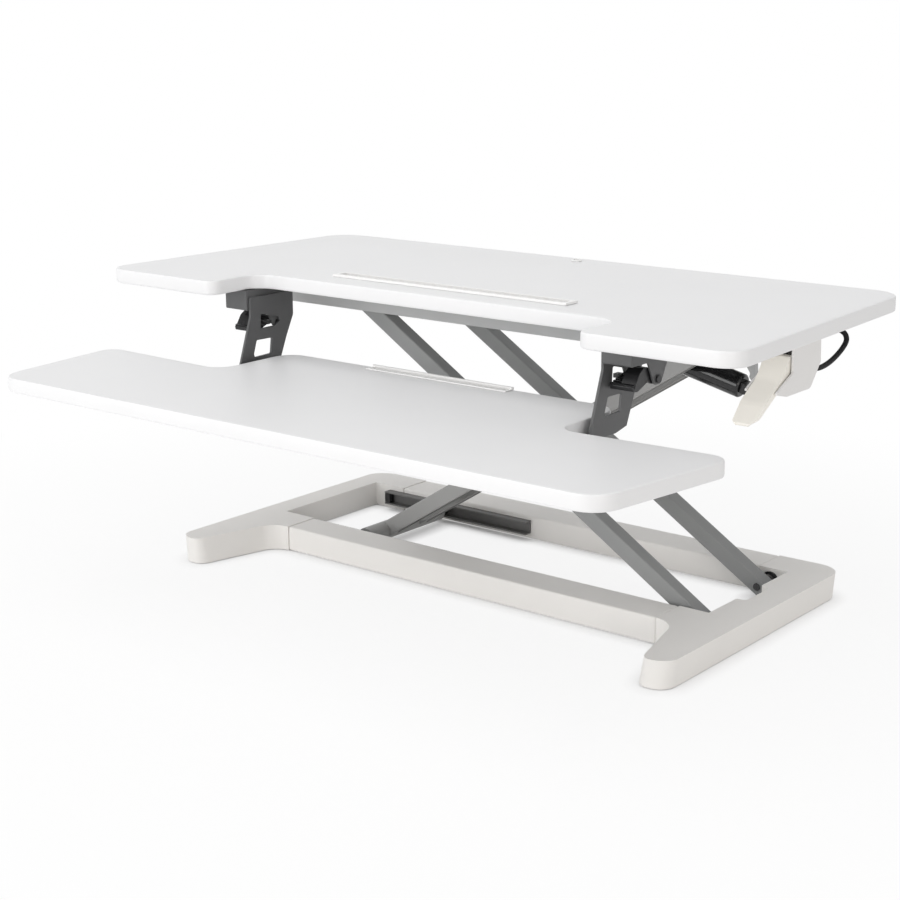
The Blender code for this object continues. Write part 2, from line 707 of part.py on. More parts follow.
def make_inner_rail(name, y):
    """A channel that opens downward, coped round the foot tube at its lower end."""
    half_y = INNER_RAIL_WIDTH / 2
    rail = box(
        name, (RAIL_START, RAIL_END), (y - half_y, y + half_y), (-ARM_HALF, ARM_HALF), INNER, SILVER_PAINT
    )
    soften(rail, 0.0015, 2)
    hollow_y = (y - half_y + RAIL_WALL, y + half_y - RAIL_WALL)
    hollow_z = (-ARM_HALF - OVERCUT, ARM_HALF - RAIL_WALL)
    hollow = box(name + "_hollow", (RAIL_START - OVERCUT, RAIL_END - RAIL_WALL), hollow_y, hollow_z, INNER)
    bores = (
        arm_bore(name + "_mid_bore", 0.0, y, MID_SHAFT_RADIUS + RUNNING, INNER),
        arm_bore(name + "_top_bore", HALF_LEG, y, TOP_SHAFT_RADIUS + RUNNING, INNER),
        arm_bore(name + "_foot_cope", -HALF_LEG, y, FOOT_TUBE_RADIUS + GAP, INNER),
    )
    return cut(rail, hollow, *bores)


def make_foot_tube():
    """The cross tube at the feet of the inner legs. Its journals carry the lower rollers."""
    front = FRONT_TRACK_Y[0] + SHEET + SIDE_PLAY - LIFT_Y
    rear = REAR_TRACK_Y[1] - SHEET - SIDE_PLAY - LIFT_Y
    profile = [
        (0.0, rear),
        (JOURNAL_RADIUS, rear),
        (JOURNAL_RADIUS, FOOT_TUBE_HALF),
        (FOOT_TUBE_RADIUS, FOOT_TUBE_HALF),
        (FOOT_TUBE_RADIUS, -FOOT_TUBE_HALF),
        (JOURNAL_RADIUS, -FOOT_TUBE_HALF),
        (JOURNAL_RADIUS, front),
        (0.0, front),
    ]
    return turned("inner_foot_tube", profile, "Y", (-HALF_LEG, 0.0), INNER, SILVER_PAINT)


def make_inner_straps():
    """Flat bars that tie the two inner rails together between the pivots."""
    y = (GAP - BAY_HALF, BAY_HALF - GAP)
    for label, start in STRAPS.items():
        x = (start, start + STRAP_LENGTH)
        box(f"inner_strap_{label}", x, y, (-STRAP_HALF, STRAP_HALF), INNER, SILVER_PAINT)


def to_inner(x, z):
    """World x, z at rest as places in the inner legs' frame."""
    dx, dz = x - MID_X, z - MID_Z
    cos, sin = math.cos(LEG_ANGLE), math.sin(LEG_ANGLE)
    return (dx * cos + dz * sin, -dx * sin + dz * cos)


def make_crank():
    """The bent plate that turns with the inner legs. Its pin holds the strut's lower end."""
    x, z = CRANK_PIN
    outline = [
        (PIVOT_X, 0.341, 0.004),
        (0.3090, 0.3340, 0.006),
        (0.3175, 0.3100, 0.012),
        (0.3185, 0.2900, 0.008),
        (x + 0.008, 0.2790, 0.006),
        (x + 0.008, z - 0.008, 0.0078),
        (x - 0.008, z - 0.008, 0.0078),
        (x - 0.008, z + 0.004, 0.002),
        (x - 0.0070, 0.2800, 0.003),
        (x - 0.0115, 0.2850, 0.002),
        (x - 0.0105, 0.2900, 0.004),
        (0.3055, 0.2985, 0.010),
        (0.3000, 0.3160, 0.010),
        (PIVOT_X - 0.004, 0.324, 0.002),
    ]
    corners = [(*to_inner(corner_x, corner_z), radius) for corner_x, corner_z, radius in outline]
    hub = to_inner(PIVOT_X, TOP_PIVOT_Z)
    pin = to_inner(x, z)
    reach = BAY_HALF - CRANK_PLAY_SIDE
    plate_y = (-CRANK_PLATE_HALF, CRANK_PLATE_HALF)
    pin_y = (-CRANK_PIN_HALF, CRANK_PIN_HALF)
    crank = cylinder("strut_crank", "Y", hub, (-reach, reach), CRANK_HUB_RADIUS, INNER, SILVER_PAINT, sides=24)
    join(
        crank,
        plate("crank_plate", corners, "Y", plate_y, INNER),
        cylinder("crank_pin", "Y", pin, pin_y, STRUT_PIN_RADIUS, INNER),
    )
    return cut(crank, cylinder("crank_bore", "Y", hub, (-0.03, 0.03), TOP_SHAFT_RADIUS + RUNNING, INNER))


def make_roller(name, frame, across, y, radius):
    """A roller with a bore that runs on its journal."""
    bore = JOURNAL_RADIUS + RUNNING
    chamfer = 0.0006
    profile = [
        (radius - chamfer, y[1]),
        (radius, y[1] - chamfer),
        (radius, y[0] + chamfer),
        (radius - chamfer, y[0]),
        (bore, y[0]),
        (bore, y[1]),
    ]
    return turned(name, profile, "Y", across, frame, BLACK_PLASTIC)


def make_rollers():
    for side, label in ((-1, "front"), (1, "rear")):
        near, far = ROLLER_TOP_Y, TOP_TRACK_OUTER - SHEET - SIDE_PLAY
        y = sorted((side * near, side * far))
        frame = Frame(f"upper_roller_{label}_axis", (ROLLER_X, LIFT_Y, TOP_PIVOT_Z), 0.0, True)
        make_roller(f"upper_roller_{label}", frame, (0.0, 0.0), y, TOP_ROLLER_RADIUS)
    front = FRONT_TRACK_Y[0] + SHEET + SIDE_PLAY
    rear = REAR_TRACK_Y[1] - SHEET - SIDE_PLAY
    for label, y in (("front", (front, front + ROLLER_WIDTH)), ("rear", (rear - ROLLER_WIDTH, rear))):
        frame = Frame(f"lower_roller_{label}_axis", (ROLLER_X, LIFT_Y, BASE_PIVOT_Z), 0.0, True)
        about = (y[0] - LIFT_Y, y[1] - LIFT_Y)
        make_roller(f"lower_roller_{label}", frame, (0.0, 0.0), about, LOW_ROLLER_RADIUS)


# --- Top frame ---------------------------------------------------------------------------------------------------------
TOP_RAIL_HALF = 0.320
TOP_GROOVE = TOP_ROLLER_RADIUS + TRACK_PLAY
TRACK_LIP = 0.0023
FRAME_TOP = TOP_UNDERSIDE - GAP
FLANGE_WIDTH = 0.019
CROSS_MEMBERS = {"left": (-0.318, -0.278), "middle": (0.085, 0.125), "right": (0.225, 0.262)}
CROSS_DEPTH = 0.0064
SHAFT_HEAD = 0.008
SHAFT_HEAD_THICK = 0.0035


def make_top_rail(name, side):
    """A rail with a roller track that opens inward and a flange against the worktop."""
    track_low = TOP_PIVOT_Z - TOP_GROOVE
    track_high = TOP_PIVOT_Z + TOP_GROOVE
    section = [
        (TOP_TRACK_OUTER, track_low - TRACK_LIP, 0.001),
        (TOP_TRACK_OUTER, FRAME_TOP, 0.0),
        (TOP_TRACK_OUTER - FLANGE_WIDTH, FRAME_TOP, 0.0),
        (TOP_TRACK_OUTER - FLANGE_WIDTH, FRAME_TOP - SHEET, 0.0),
        (TOP_TRACK_OUTER - SHEET, FRAME_TOP - SHEET, 0.0),
        (TOP_TRACK_OUTER - SHEET, track_high + TRACK_LIP, 0.0),
        (TOP_TRACK_INNER, track_high + TRACK_LIP, 0.0),
        (TOP_TRACK_INNER, track_high, 0.0),
        (TOP_TRACK_OUTER - SHEET, track_high, 0.0),
        (TOP_TRACK_OUTER - SHEET, track_low, 0.0),
        (TOP_TRACK_INNER, track_low, 0.0),
        (TOP_TRACK_INNER, track_low - TRACK_LIP, 0.0),
    ]
    outline = [(LIFT_Y + side * u, v, radius) for u, v, radius in section]
    rail = plate(name, outline, "X", (-TOP_RAIL_HALF, TOP_RAIL_HALF), TOP, SILVER_PAINT)
    web_y = sorted((LIFT_Y + side * (TOP_TRACK_OUTER - 0.006), LIFT_Y + side * (TOP_TRACK_OUTER + 0.006)))
    bore = cylinder(name + "_bore", "Y", (PIVOT_X, TOP_PIVOT_Z), web_y, TOP_SHAFT_RADIUS + GAP, TOP)
    return cut(rail, bore)


def make_cross_member(name, x):
    """A channel that opens downward, under the flanges of both rails."""
    reach = TOP_TRACK_OUTER - SHEET - GAP
    y = (LIFT_Y - reach, LIFT_Y + reach)
    high = FRAME_TOP - SHEET - GAP
    member = box(name, x, y, (high - CROSS_DEPTH, high), TOP, SILVER_PAINT)
    hollow_x = (x[0] + SHEET, x[1] - SHEET)
    hollow_z = (high - CROSS_DEPTH - OVERCUT, high - SHEET)
    return cut(member, box(name + "_hollow", hollow_x, (y[0] - OVERCUT, y[1] + OVERCUT), hollow_z, TOP))


BRACKET_INNER = 0.0122      # from the middle plane
BRACKET_PLATE = 0.0025
BRACKET_RADIUS = 0.010


def make_strut_bracket():
    """The clevis under the middle cross member, with the pin that the strut swings on."""
    x, z = STRUT_PIN
    high = FRAME_TOP - SHEET - GAP - CROSS_DEPTH - GAP
    outer = BRACKET_INNER + BRACKET_PLATE
    corners = [
        (x - 0.018, high, 0.0),
        (x - 0.018, high - 0.004, 0.0),
        (x - BRACKET_RADIUS, z - BRACKET_RADIUS, 0.0095),
        (x + BRACKET_RADIUS, z - BRACKET_RADIUS, 0.0095),
        (x + 0.018, high - 0.004, 0.0),
        (x + 0.018, high, 0.0),
    ]
    bracket = plate("strut_bracket", corners, "Y", (LIFT_Y - outer, LIFT_Y + outer), TOP, SILVER_PAINT)
    bay_x = (x - 0.03, x + 0.03)
    bay_y = (LIFT_Y - BRACKET_INNER, LIFT_Y + BRACKET_INNER)
    bay = box("bracket_bay", bay_x, bay_y, (z - 0.03, high - SHEET), TOP)
    pin_y = (LIFT_Y - outer - 0.001, LIFT_Y + outer + 0.001)
    pin = cylinder("bracket_pin", "Y", STRUT_PIN, pin_y, STRUT_PIN_RADIUS, TOP)
    return join(cut(bracket, bay), pin)


def make_top_shaft():
    """The shaft through the upper ends of the inner legs, headed outside both rails."""
    web = TOP_TRACK_OUTER + GAP
    end = web + SHAFT_HEAD_THICK
    profile = [
        (0.0, LIFT_Y + end),
        (SHAFT_HEAD, LIFT_Y + end),
        (SHAFT_HEAD, LIFT_Y + web),
        (TOP_SHAFT_RADIUS, LIFT_Y + web),
        (TOP_SHAFT_RADIUS, LIFT_Y - web),
        (SHAFT_HEAD, LIFT_Y - web),
        (SHAFT_HEAD, LIFT_Y - end),
        (0.0, LIFT_Y - end),
    ]
    return turned("top_pivot_shaft", profile, "Y", (PIVOT_X, TOP_PIVOT_Z), TOP, STEEL)


# --- Tray hangers, sockets and quick-release levers -----------------------------------------------------------------------
HANGER_HIGH = 0.346
FLANGE_INNER = 0.214
FLANGE_Y = (-0.080, -0.030)
FLANGE_THICK = 0.0025
SOCKET_INNER = HANGER_INNER + HANGER_THICK + GAP
SOCKET_FRONT = -0.058
SOCKET_REAR = 0.011
SOCKET_LOW = 0.330
EAR_RADIUS = 0.006
LEVER_SIDE_PLAY = 0.0012
ARCH_INNER = 0.274      # the lever's arch fills only the outer part of its width
PAD_STEP = 0.0006       # the pad's outer side is this far inside the arch's
LEVER_RIBS = 6
RIB_HEIGHT = 0.0014
TONGUE_Y = (-0.030, -0.021)
TONGUE_Z = (0.3100, 0.3145)


def make_hanger(side, label):
    """The plate that carries one side of the tray, with a foot folded under the tray."""
    foot_top = TRAY_UNDERSIDE - GAP
    foot_low = foot_top - FLANGE_THICK
    name = f"hanger_{label}"
    corners = [
        (-0.055, HANGER_HIGH, 0.003),
        (-0.055, 0.323, 0.008),
        (FLANGE_Y[0], foot_low, 0.0),
        (FLANGE_Y[1], foot_low, 0.0),
        (-0.009, 0.2545, 0.002),
        (0.006, 0.290, 0.006),
        (0.019, 0.316, 0.006),
        (0.019, HANGER_HIGH, 0.003),
    ]
    x = both_sides(side, HANGER_INNER, HANGER_INNER + HANGER_THICK)
    hanger = plate(name, corners, "X", x, TOP, CHARCOAL_PAINT)
    upper = [
        (-0.0375, 0.3240, 0.002),
        (-0.0070, 0.3165, 0.002),
        (-0.0050, 0.3110, 0.002),
        (-0.0140, 0.3060, 0.002),
        (-0.0388, 0.3058, 0.002),
    ]
    lower = [
        (-0.046, 0.2925, 0.002),
        (-0.019, 0.2920, 0.002),
        (-0.0215, 0.2725, 0.002),
        (-0.050, 0.2718, 0.002),
        (-0.0515, 0.276, 0.002),
    ]
    through = (x[0] - OVERCUT, x[1] + OVERCUT)
    for place_name, window in (("upper", upper), ("lower", lower)):
        cut(hanger, plate(f"{name}_{place_name}_window", window, "X", through, TOP))
    foot_x = both_sides(side, FLANGE_INNER, HANGER_INNER + HANGER_THICK)
    foot = box(name + "_foot", foot_x, FLANGE_Y, (foot_low, foot_top), TOP)
    return join(hanger, foot)


def make_socket(side, label):
    """The bracket under the worktop that a hanger sits against, with ears for the lever's pin."""
    name = f"socket_{label}"
    pin_y, pin_z = LEVER_PIN
    corners = [
        (SOCKET_FRONT, FRAME_TOP, 0.0),
        (SOCKET_FRONT, SOCKET_LOW, 0.002),
        (-0.026, SOCKET_LOW, 0.004),
        (pin_y - 0.0060, pin_z - EAR_RADIUS, EAR_RADIUS * 0.95),
        (pin_y + 0.0065, pin_z - EAR_RADIUS, EAR_RADIUS * 0.95),
        (SOCKET_REAR, 0.325, 0.004),
        (SOCKET_REAR, FRAME_TOP, 0.0),
    ]
    x = both_sides(side, SOCKET_INNER, SOCKET_OUTER)
    socket = plate(name, corners, "X", x, TOP, CHARCOAL_PAINT)
    bay_x = both_sides(side, SOCKET_INNER + SHEET, SOCKET_OUTER - SHEET)
    bay_y = (SOCKET_FRONT + SHEET, SOCKET_REAR + OVERCUT)
    bay = box(name + "_bay", bay_x, bay_y, (pin_z - 0.02, FRAME_TOP - SHEET), TOP)
    reach = both_sides(side, SOCKET_INNER - 0.001, SOCKET_OUTER + 0.001)
    bore = cylinder(name + "_bore", "X", LEVER_PIN, reach, LEVER_PIN_RADIUS + GAP, TOP, sides=24)
    return cut(socket, bay, bore)


def make_lever_pin(side, label):
    """The lever's pin, headed outside the outer ear."""
    pin_start = side * (SOCKET_INNER + GAP)
    pin_end = side * (SOCKET_OUTER + GAP)
    head_end = side * (SOCKET_OUTER + GAP + 0.002)
    profile = [
        (0.0, head_end),
        (LEVER_HEAD_RADIUS, head_end),
        (LEVER_HEAD_RADIUS, pin_end),
        (LEVER_PIN_RADIUS, pin_end),
        (LEVER_PIN_RADIUS, pin_start),
        (0.0, pin_start),
    ]
    if side < 0:
        profile.reverse()
    return turned(f"lever_pin_{label}", profile, "X", LEVER_PIN, TOP, BLACK_STEEL, 24)


def ribbed(first, last, ribs, height):
    """Corners of a straight edge with square ribs over it, from the first place to the last."""
    first, last = Vector(first), Vector(last)
    pitch = (last - first) / ribs
    rise = Vector((pitch.y, -pitch.x)).normalized() * height
    corners = []
    for number in range(ribs):
        start = first + pitch * (number + 0.2)
        end = first + pitch * (number + 0.75)
        for corner in (start, start + rise, end + rise, end):
            corners.append((corner.x, corner.y, 0.0))
    return corners


def make_quick_lever(side, label):
    """The lever that latches a hanger: ribbed over its pad, with a tongue in the hanger's window."""
    name = f"quick_lever_{label}"
    frame = Frame(f"{name}_axis", (side * SOCKET_OUTER, *LEVER_PIN))
    inner = SOCKET_INNER + SHEET + LEVER_SIDE_PLAY
    outer = SOCKET_OUTER - SHEET - LEVER_SIDE_PLAY
    pad = [
        (-0.0480, 0.3068, 0.001),
        (-0.0470, 0.3022, 0.0015),
        (-0.0400, 0.3005, 0.006),
        (-0.0200, 0.3085, 0.004),
        (-0.0200, 0.3150, 0.0),
        *ribbed((-0.0200, 0.3150), (-0.0480, 0.3068), LEVER_RIBS, RIB_HEIGHT),
    ]
    arch = [
        (-0.0430, 0.3040, 0.001),
        (-0.0280, 0.3118, 0.006),
        (-0.0130, 0.3050, 0.006),
        (-0.0012, 0.3042, 0.005),
        (-0.0012, 0.3155, 0.005),
        (-0.0110, 0.3170, 0.003),
        (-0.0190, 0.3240, 0.006),
        (-0.0290, 0.3245, 0.004),
        (-0.0370, 0.3195, 0.008),
        (-0.0460, 0.3055, 0.001),
    ]
    lever = plate(name, arch, "X", both_sides(side, ARCH_INNER, outer), frame, BLACK_PLASTIC)
    join(lever, plate(name + "_pad", pad, "X", both_sides(side, inner, outer - PAD_STEP), frame))
    tongue_x = both_sides(side, HANGER_INNER - 0.0015, inner + OVERCUT)
    join(lever, box(name + "_tongue", tongue_x, TONGUE_Y, TONGUE_Z, frame))
    reach = both_sides(side, ARCH_INNER - OVERCUT, outer + OVERCUT)
    bore = cylinder(name + "_bore", "X", LEVER_PIN, reach, LEVER_PIN_RADIUS + RUNNING, frame, sides=24)
    return cut(lever, bore)


# --- Handle ------------------------------------------------------------------------------------------------------------------
HOUSING_ROOF = FRAME_TOP
LEVER_INNER = 0.402
LEVER_OUTER = 0.431
CABLE_Y = 0.052         # where the cable starts inside the housing
CABLE_X = 0.421
PULL_END = (0.046, 0.3215)      # where the lever's arm holds the cable
PULL_HALF = 0.0045


def make_handle_housing():
    corners = [
        (0.026, HOUSING_ROOF, 0.0),
        (0.026, 0.328, 0.002),
        (-0.009, 0.3115, 0.0015),
        (0.014, 0.306, 0.010),
        (0.0645, 0.306, 0.008),
        (0.0855, 0.331, 0.004),
        (0.0840, HOUSING_ROOF, 0.0),
    ]
    x = (HANDLE_INNER, HANDLE_OUTER)
    housing = plate("handle_housing", corners, "X", x, TOP, WHITE_PLASTIC)
    roof = HOUSING_ROOF - HANDLE_WALL
    bay = [
        (-0.020, roof, 0.0),
        (-0.020, 0.300, 0.0),
        (0.012, 0.300, 0.0),
        (0.012, 0.306 + HANDLE_WALL, 0.0),
        (0.0633, 0.306 + HANDLE_WALL, 0.006),
        (0.0828, 0.3318, 0.003),
        (0.0815, roof, 0.0),
    ]
    bay_x = (HANDLE_INNER + HANDLE_WALL, HANDLE_OUTER - HANDLE_WALL)
    socket_x = (HANDLE_INNER + 0.001, HANDLE_OUTER - 0.001)
    return cut(
        housing,
        plate("housing_bay", bay, "X", bay_x, TOP),
        cylinder("housing_pin_bore", "X", HANDLE_PIN, socket_x, HANDLE_PIN_RADIUS + GAP, TOP, sides=24),
        cylinder("housing_cable_bore", "Y", (CABLE_X, CABLE_EXIT_Z), (0.06, 0.10), CABLE_RADIUS + GAP, TOP),
    )


def make_handle_pin():
    x = (HANDLE_INNER + 0.001 + GAP, HANDLE_OUTER - 0.001 - GAP)
    return cylinder("handle_pin", "X", HANDLE_PIN, x, HANDLE_PIN_RADIUS, TOP, STEEL, 0.0, 24)


def make_handle_lever():
    """A bent paddle that hangs forward and down from its barrel, with an arm for the cable."""
    pin_y, pin_z = HANDLE_PIN
    corners = [
        (0.027, 0.3455, 0.003),
        (0.008, 0.3215, 0.025),
        (-0.021, 0.304, 0.025),
        (-0.0385, 0.284, 0.0022),
        (-0.0345, 0.2815, 0.0022),
        (-0.0172, 0.2995, 0.025),
        (0.0125, 0.3168, 0.020),
        (0.033, 0.3325, 0.002),
        (pin_y, pin_z + 0.004, 0.002),
    ]
    lever = plate("handle_lever", corners, "X", (LEVER_INNER, LEVER_OUTER), HANDLE, IVORY_PLASTIC)
    barrel_x = (LEVER_INNER + 0.0002, LEVER_OUTER - 0.0002)
    arm_x = (CABLE_X - PULL_HALF, CABLE_X + PULL_HALF)
    arm = plate("handle_lever_arm", capsule(HANDLE_PIN, PULL_END, PULL_HALF), "X", arm_x, HANDLE)
    join(lever, cylinder("handle_barrel", "X", HANDLE_PIN, barrel_x, BARREL_RADIUS, HANDLE), arm)
    tip_low, tip_high = 0.275, 0.30
    tip_y = (-0.06, 0.0)
    outer_corner = [
        (LEVER_OUTER + 0.002, tip_high, 0.0),
        (LEVER_OUTER + 0.002, tip_low, 0.0),
        (LEVER_OUTER - 0.012, tip_low, 0.0),
        (LEVER_OUTER - 0.012, 0.2825, 0.006),
        (LEVER_OUTER - 0.003, 0.2885, 0.006),
        (LEVER_OUTER, tip_high, 0.0),
    ]
    inner_corner = [
        (LEVER_INNER - 0.002, tip_low, 0.0),
        (LEVER_INNER + 0.004, tip_low, 0.0),
        (LEVER_INNER + 0.0035, 0.2835, 0.003),
        (LEVER_INNER - 0.002, 0.2885, 0.0),
    ]
    spring_seat = cylinder(
        "spring_seat", "X", HANDLE_PIN, (LEVER_INNER - 0.001, LEVER_INNER + 0.0075), 0.0066, HANDLE, sides=24
    )
    bore_x = (LEVER_INNER - 0.001, LEVER_OUTER + 0.001)
    bore = cylinder("lever_bore", "X", HANDLE_PIN, bore_x, HANDLE_PIN_RADIUS + RUNNING, HANDLE, sides=24)
    return cut(
        lever,
        plate("lever_outer_corner", outer_corner, "Y", tip_y, HANDLE),
        plate("lever_inner_corner", inner_corner, "Y", tip_y, HANDLE),
        spring_seat,
        bore,
    )


def wire(name, points, radius, frame, surface, sides=2):
    """A round wire or cord along points, with closed ends."""
    curve = bpy.data.curves.new(name, "CURVE")
    curve.dimensions = "3D"
    curve.bevel_depth = radius
    curve.bevel_resolution = sides
    curve.use_fill_caps = True
    spline = curve.splines.new("POLY")
    spline.points.add(len(points) - 1)
    for target, point in zip(spline.points, points):
        target.co = (*point, 1.0)
    return place(bpy.data.objects.new(name, curve), frame, surface)


def make_handle_spring():
    """A torsion spring round the handle's pin, in the end of the lever's barrel."""
    turns, per_turn = 3.5, 12
    wire_radius, coil_radius = 0.0006, 0.0050
    start, pitch = LEVER_INNER + 0.0006, 0.0017
    pin_y, pin_z = HANDLE_PIN
    count = int(turns * per_turn)
    points = []
    for number in range(count + 1):
        angle = 2 * math.pi * number / per_turn
        x = start + pitch * number / per_turn
        points.append((x, pin_y + coil_radius * math.cos(angle), pin_z + coil_radius * math.sin(angle)))
    return wire("handle_spring", points, wire_radius, TOP, STEEL, 1)


# --- Release cable ---------------------------------------------------------------------------------------------------------
CABLE_ROUTE = (
    (CABLE_X, CABLE_Y, CABLE_EXIT_Z),
    (CABLE_X, 0.070, CABLE_EXIT_Z),
    (CABLE_X, 0.088, CABLE_EXIT_Z),
    (0.4225, 0.1080, 0.3188),
    (0.4230, 0.1270, 0.3210),
    (0.4230, 0.1460, 0.3265),
    (0.4230, 0.1605, 0.3335),
    (0.4228, 0.1668, 0.3400),
    (0.4205, 0.1660, 0.3466),
    (0.4155, 0.1615, 0.3506),
    (0.4070, 0.1565, 0.3520),
    (0.3960, 0.1525, 0.3520),
    (0.3840, 0.1497, 0.3515),
    (0.3730, 0.1480, 0.3510),
    (0.3500, 0.1410, 0.3505),
    (0.3300, 0.1300, 0.3465),
    (0.3080, 0.1150, 0.3425),
    (0.2800, 0.1110, 0.3420),
    (0.2440, 0.1110, 0.3420),
    (0.2150, 0.1150, 0.3415),
    (0.1900, 0.1300, 0.3400),
    (0.1680, 0.1480, 0.3385),
    (0.1500, 0.1600, 0.3375),
    (0.1345, LIFT_Y, 0.3370),
)
CABLE_STEPS = 3
CLIP_AT = 14            # the route point that the clip holds
CLIP_PLAY = 0.0008


def along_route(route, steps):
    """Points of a smooth curve through every point of the route."""
    knots = [Vector(point) for point in route]
    points = []
    for index in range(len(knots) - 1):
        before = knots[max(index - 1, 0)]
        start, end = knots[index], knots[index + 1]
        after = knots[min(index + 2, len(knots) - 1)]
        for step in range(steps):
            t = step / steps
            pull = (end - before) * t + (before * 2 - start * 5 + end * 4 - after) * t * t
            bend = (start * 3 - before - end * 3 + after) * t * t * t
            points.append(start + (pull + bend) / 2)
    points.append(knots[-1])
    return points


def make_cable():
    return wire("release_cable", along_route(CABLE_ROUTE, CABLE_STEPS), CABLE_RADIUS, TOP, BLACK_PLASTIC)


def make_cable_clip():
    """A saddle screwed under the worktop round the cable."""
    x, y, z = CABLE_ROUTE[CLIP_AT]
    ahead = Vector(CABLE_ROUTE[CLIP_AT + 1]) - Vector(CABLE_ROUTE[CLIP_AT - 1])
    clip_z = (z - CABLE_RADIUS - 0.002, FRAME_TOP)
    clip = box("cable_clip", (x - 0.005, x + 0.005), (y - 0.0065, y + 0.0065), clip_z, TOP, BLACK_PLASTIC)
    bore = cylinder("clip_bore", "X", (0.0, 0.0), (-0.02, 0.02), CABLE_RADIUS + CLIP_PLAY, TOP, sides=16)
    aim = Vector((1.0, 0.0, 0.0)).rotation_difference(ahead).to_matrix().to_4x4()
    bore.data.transform(Matrix.Translation((x, y, z)) @ aim)
    return cut(clip, bore)


# --- Gas strut: drawn along X from its upper pin -------------------------------------------------------------------------------
HEAD_HALF_Y = BRACKET_INNER - 0.0005
HEAD_X = (-0.011, 0.033)
HEAD_HALF_Z = 0.0095
ROD_START = 0.022
PISTON_AT = 0.098
CYLINDER_START = 0.060
CYLINDER_END = STRUT_LENGTH - 0.0206
CYLINDER_WALL = 0.0016
GLAND = 0.010
CLEVIS_RADIUS = 0.0115
CLEVIS_Y = (0.0034, 0.0085)     # inner and outer side of a cheek, from the middle plane
CLEVIS_BRIDGE_END = STRUT_LENGTH - 0.0131
CLEVIS_HALF_Z = 0.006
ROCKER_PIN = (0.024, 0.0145)
ROCKER_PIN_RADIUS = 0.002
ROCKER_HALF_Y = 0.0045


def make_strut_rod():
    """The rod with its piston, screwed into the release head."""
    piston = STRUT_RADIUS - CYLINDER_WALL - RUNNING
    profile = [
        (0.0, PISTON_AT + 0.008),
        (piston, PISTON_AT + 0.008),
        (piston, PISTON_AT),
        (ROD_RADIUS, PISTON_AT),
        (ROD_RADIUS, ROD_START),
        (0.0, ROD_START),
    ]
    return turned("strut_rod", profile, "X", (0.0, 0.0), STRUT, STEEL)


def make_release_head():
    """The head on the rod's end: an eye on the upper pin, and ears for the release rocker."""
    x, y = HEAD_X, (-HEAD_HALF_Y, HEAD_HALF_Y)
    head = box("release_head", x, y, (-HEAD_HALF_Z, HEAD_HALF_Z), STRUT, BLACK_PLASTIC)
    rocker_x, rocker_z = ROCKER_PIN
    ear_low = HEAD_HALF_Z - 0.003
    ears = plate(
        "rocker_ears",
        [
            (rocker_x - 0.006, ear_low, 0.0),
            (rocker_x + 0.006, ear_low, 0.0),
            (rocker_x + 0.004, rocker_z + 0.0035, 0.003),
            (rocker_x - 0.004, rocker_z + 0.0035, 0.003),
        ],
        "Y",
        (-HEAD_HALF_Y + 0.003, HEAD_HALF_Y - 0.003),
        STRUT,
    )
    slot_y = (-ROCKER_HALF_Y - GAP, ROCKER_HALF_Y + GAP)
    ear_slot = box("ear_slot", (rocker_x - 0.012, rocker_x + 0.0101), slot_y, (HEAD_HALF_Z, 0.03), STRUT)
    ear_reach = HEAD_HALF_Y - 0.0032
    pin = cylinder("rocker_pin", "Y", ROCKER_PIN, (-ear_reach, ear_reach), ROCKER_PIN_RADIUS, STRUT, sides=16)
    eye = cylinder("head_eye", "Y", (0.0, 0.0), (-0.02, 0.02), STRUT_PIN_RADIUS + RUNNING, STRUT)
    rod_bore = cylinder("head_rod_bore", "X", (0.0, 0.0), (ROD_START - GAP, 0.05), ROD_RADIUS + GAP, STRUT)
    cut(join(head, ears), ear_slot)
    return cut(join(head, pin), eye, rod_bore)


def make_release_rocker():
    """The small lever that the cable pulls and that presses the valve in the rod."""
    rocker_x, rocker_z = ROCKER_PIN
    pivot = Vector((rocker_x, 0.0, rocker_z))
    turn = Matrix.Rotation(STRUT_SLOPE, 4, "Y")
    place_at = Vector((STRUT_PIN[0], LIFT_Y, STRUT_PIN[1])) + turn @ pivot
    frame = Frame("release_rocker_axis", tuple(place_at), STRUT_SLOPE, True)
    corners = [
        (-0.010, -0.0030, 0.001),
        (0.004, -0.0042, 0.003),
        (0.0042, 0.0040, 0.003),
        (-0.002, 0.0042, 0.002),
        (-0.010, 0.0005, 0.001),
    ]
    half = ROCKER_HALF_Y
    rocker = plate("release_rocker", corners, "Y", (-half, half), frame, SILVER_PAINT)
    bore = cylinder("rocker_bore", "Y", (0.0, 0.0), (-0.02, 0.02), ROCKER_PIN_RADIUS + RUNNING, frame, sides=16)
    return cut(rocker, bore)


def make_strut_cylinder():
    """The gas cylinder, open round its rod at the gland."""
    end = CYLINDER_END
    inside = STRUT_RADIUS - CYLINDER_WALL
    profile = [
        (0.0, end),
        (STRUT_RADIUS - 0.002, end),
        (STRUT_RADIUS, end - 0.002),
        (STRUT_RADIUS, CYLINDER_START + 0.0015),
        (STRUT_RADIUS - 0.0015, CYLINDER_START),
        (ROD_RADIUS + RUNNING, CYLINDER_START),
        (ROD_RADIUS + RUNNING, CYLINDER_START + GLAND),
        (inside, CYLINDER_START + GLAND),
        (inside, end - 0.004),
        (0.0, end - 0.004),
    ]
    return turned("strut_cylinder", profile, "X", (0.0, 0.0), STRUT_BODY, BLACK_STEEL)


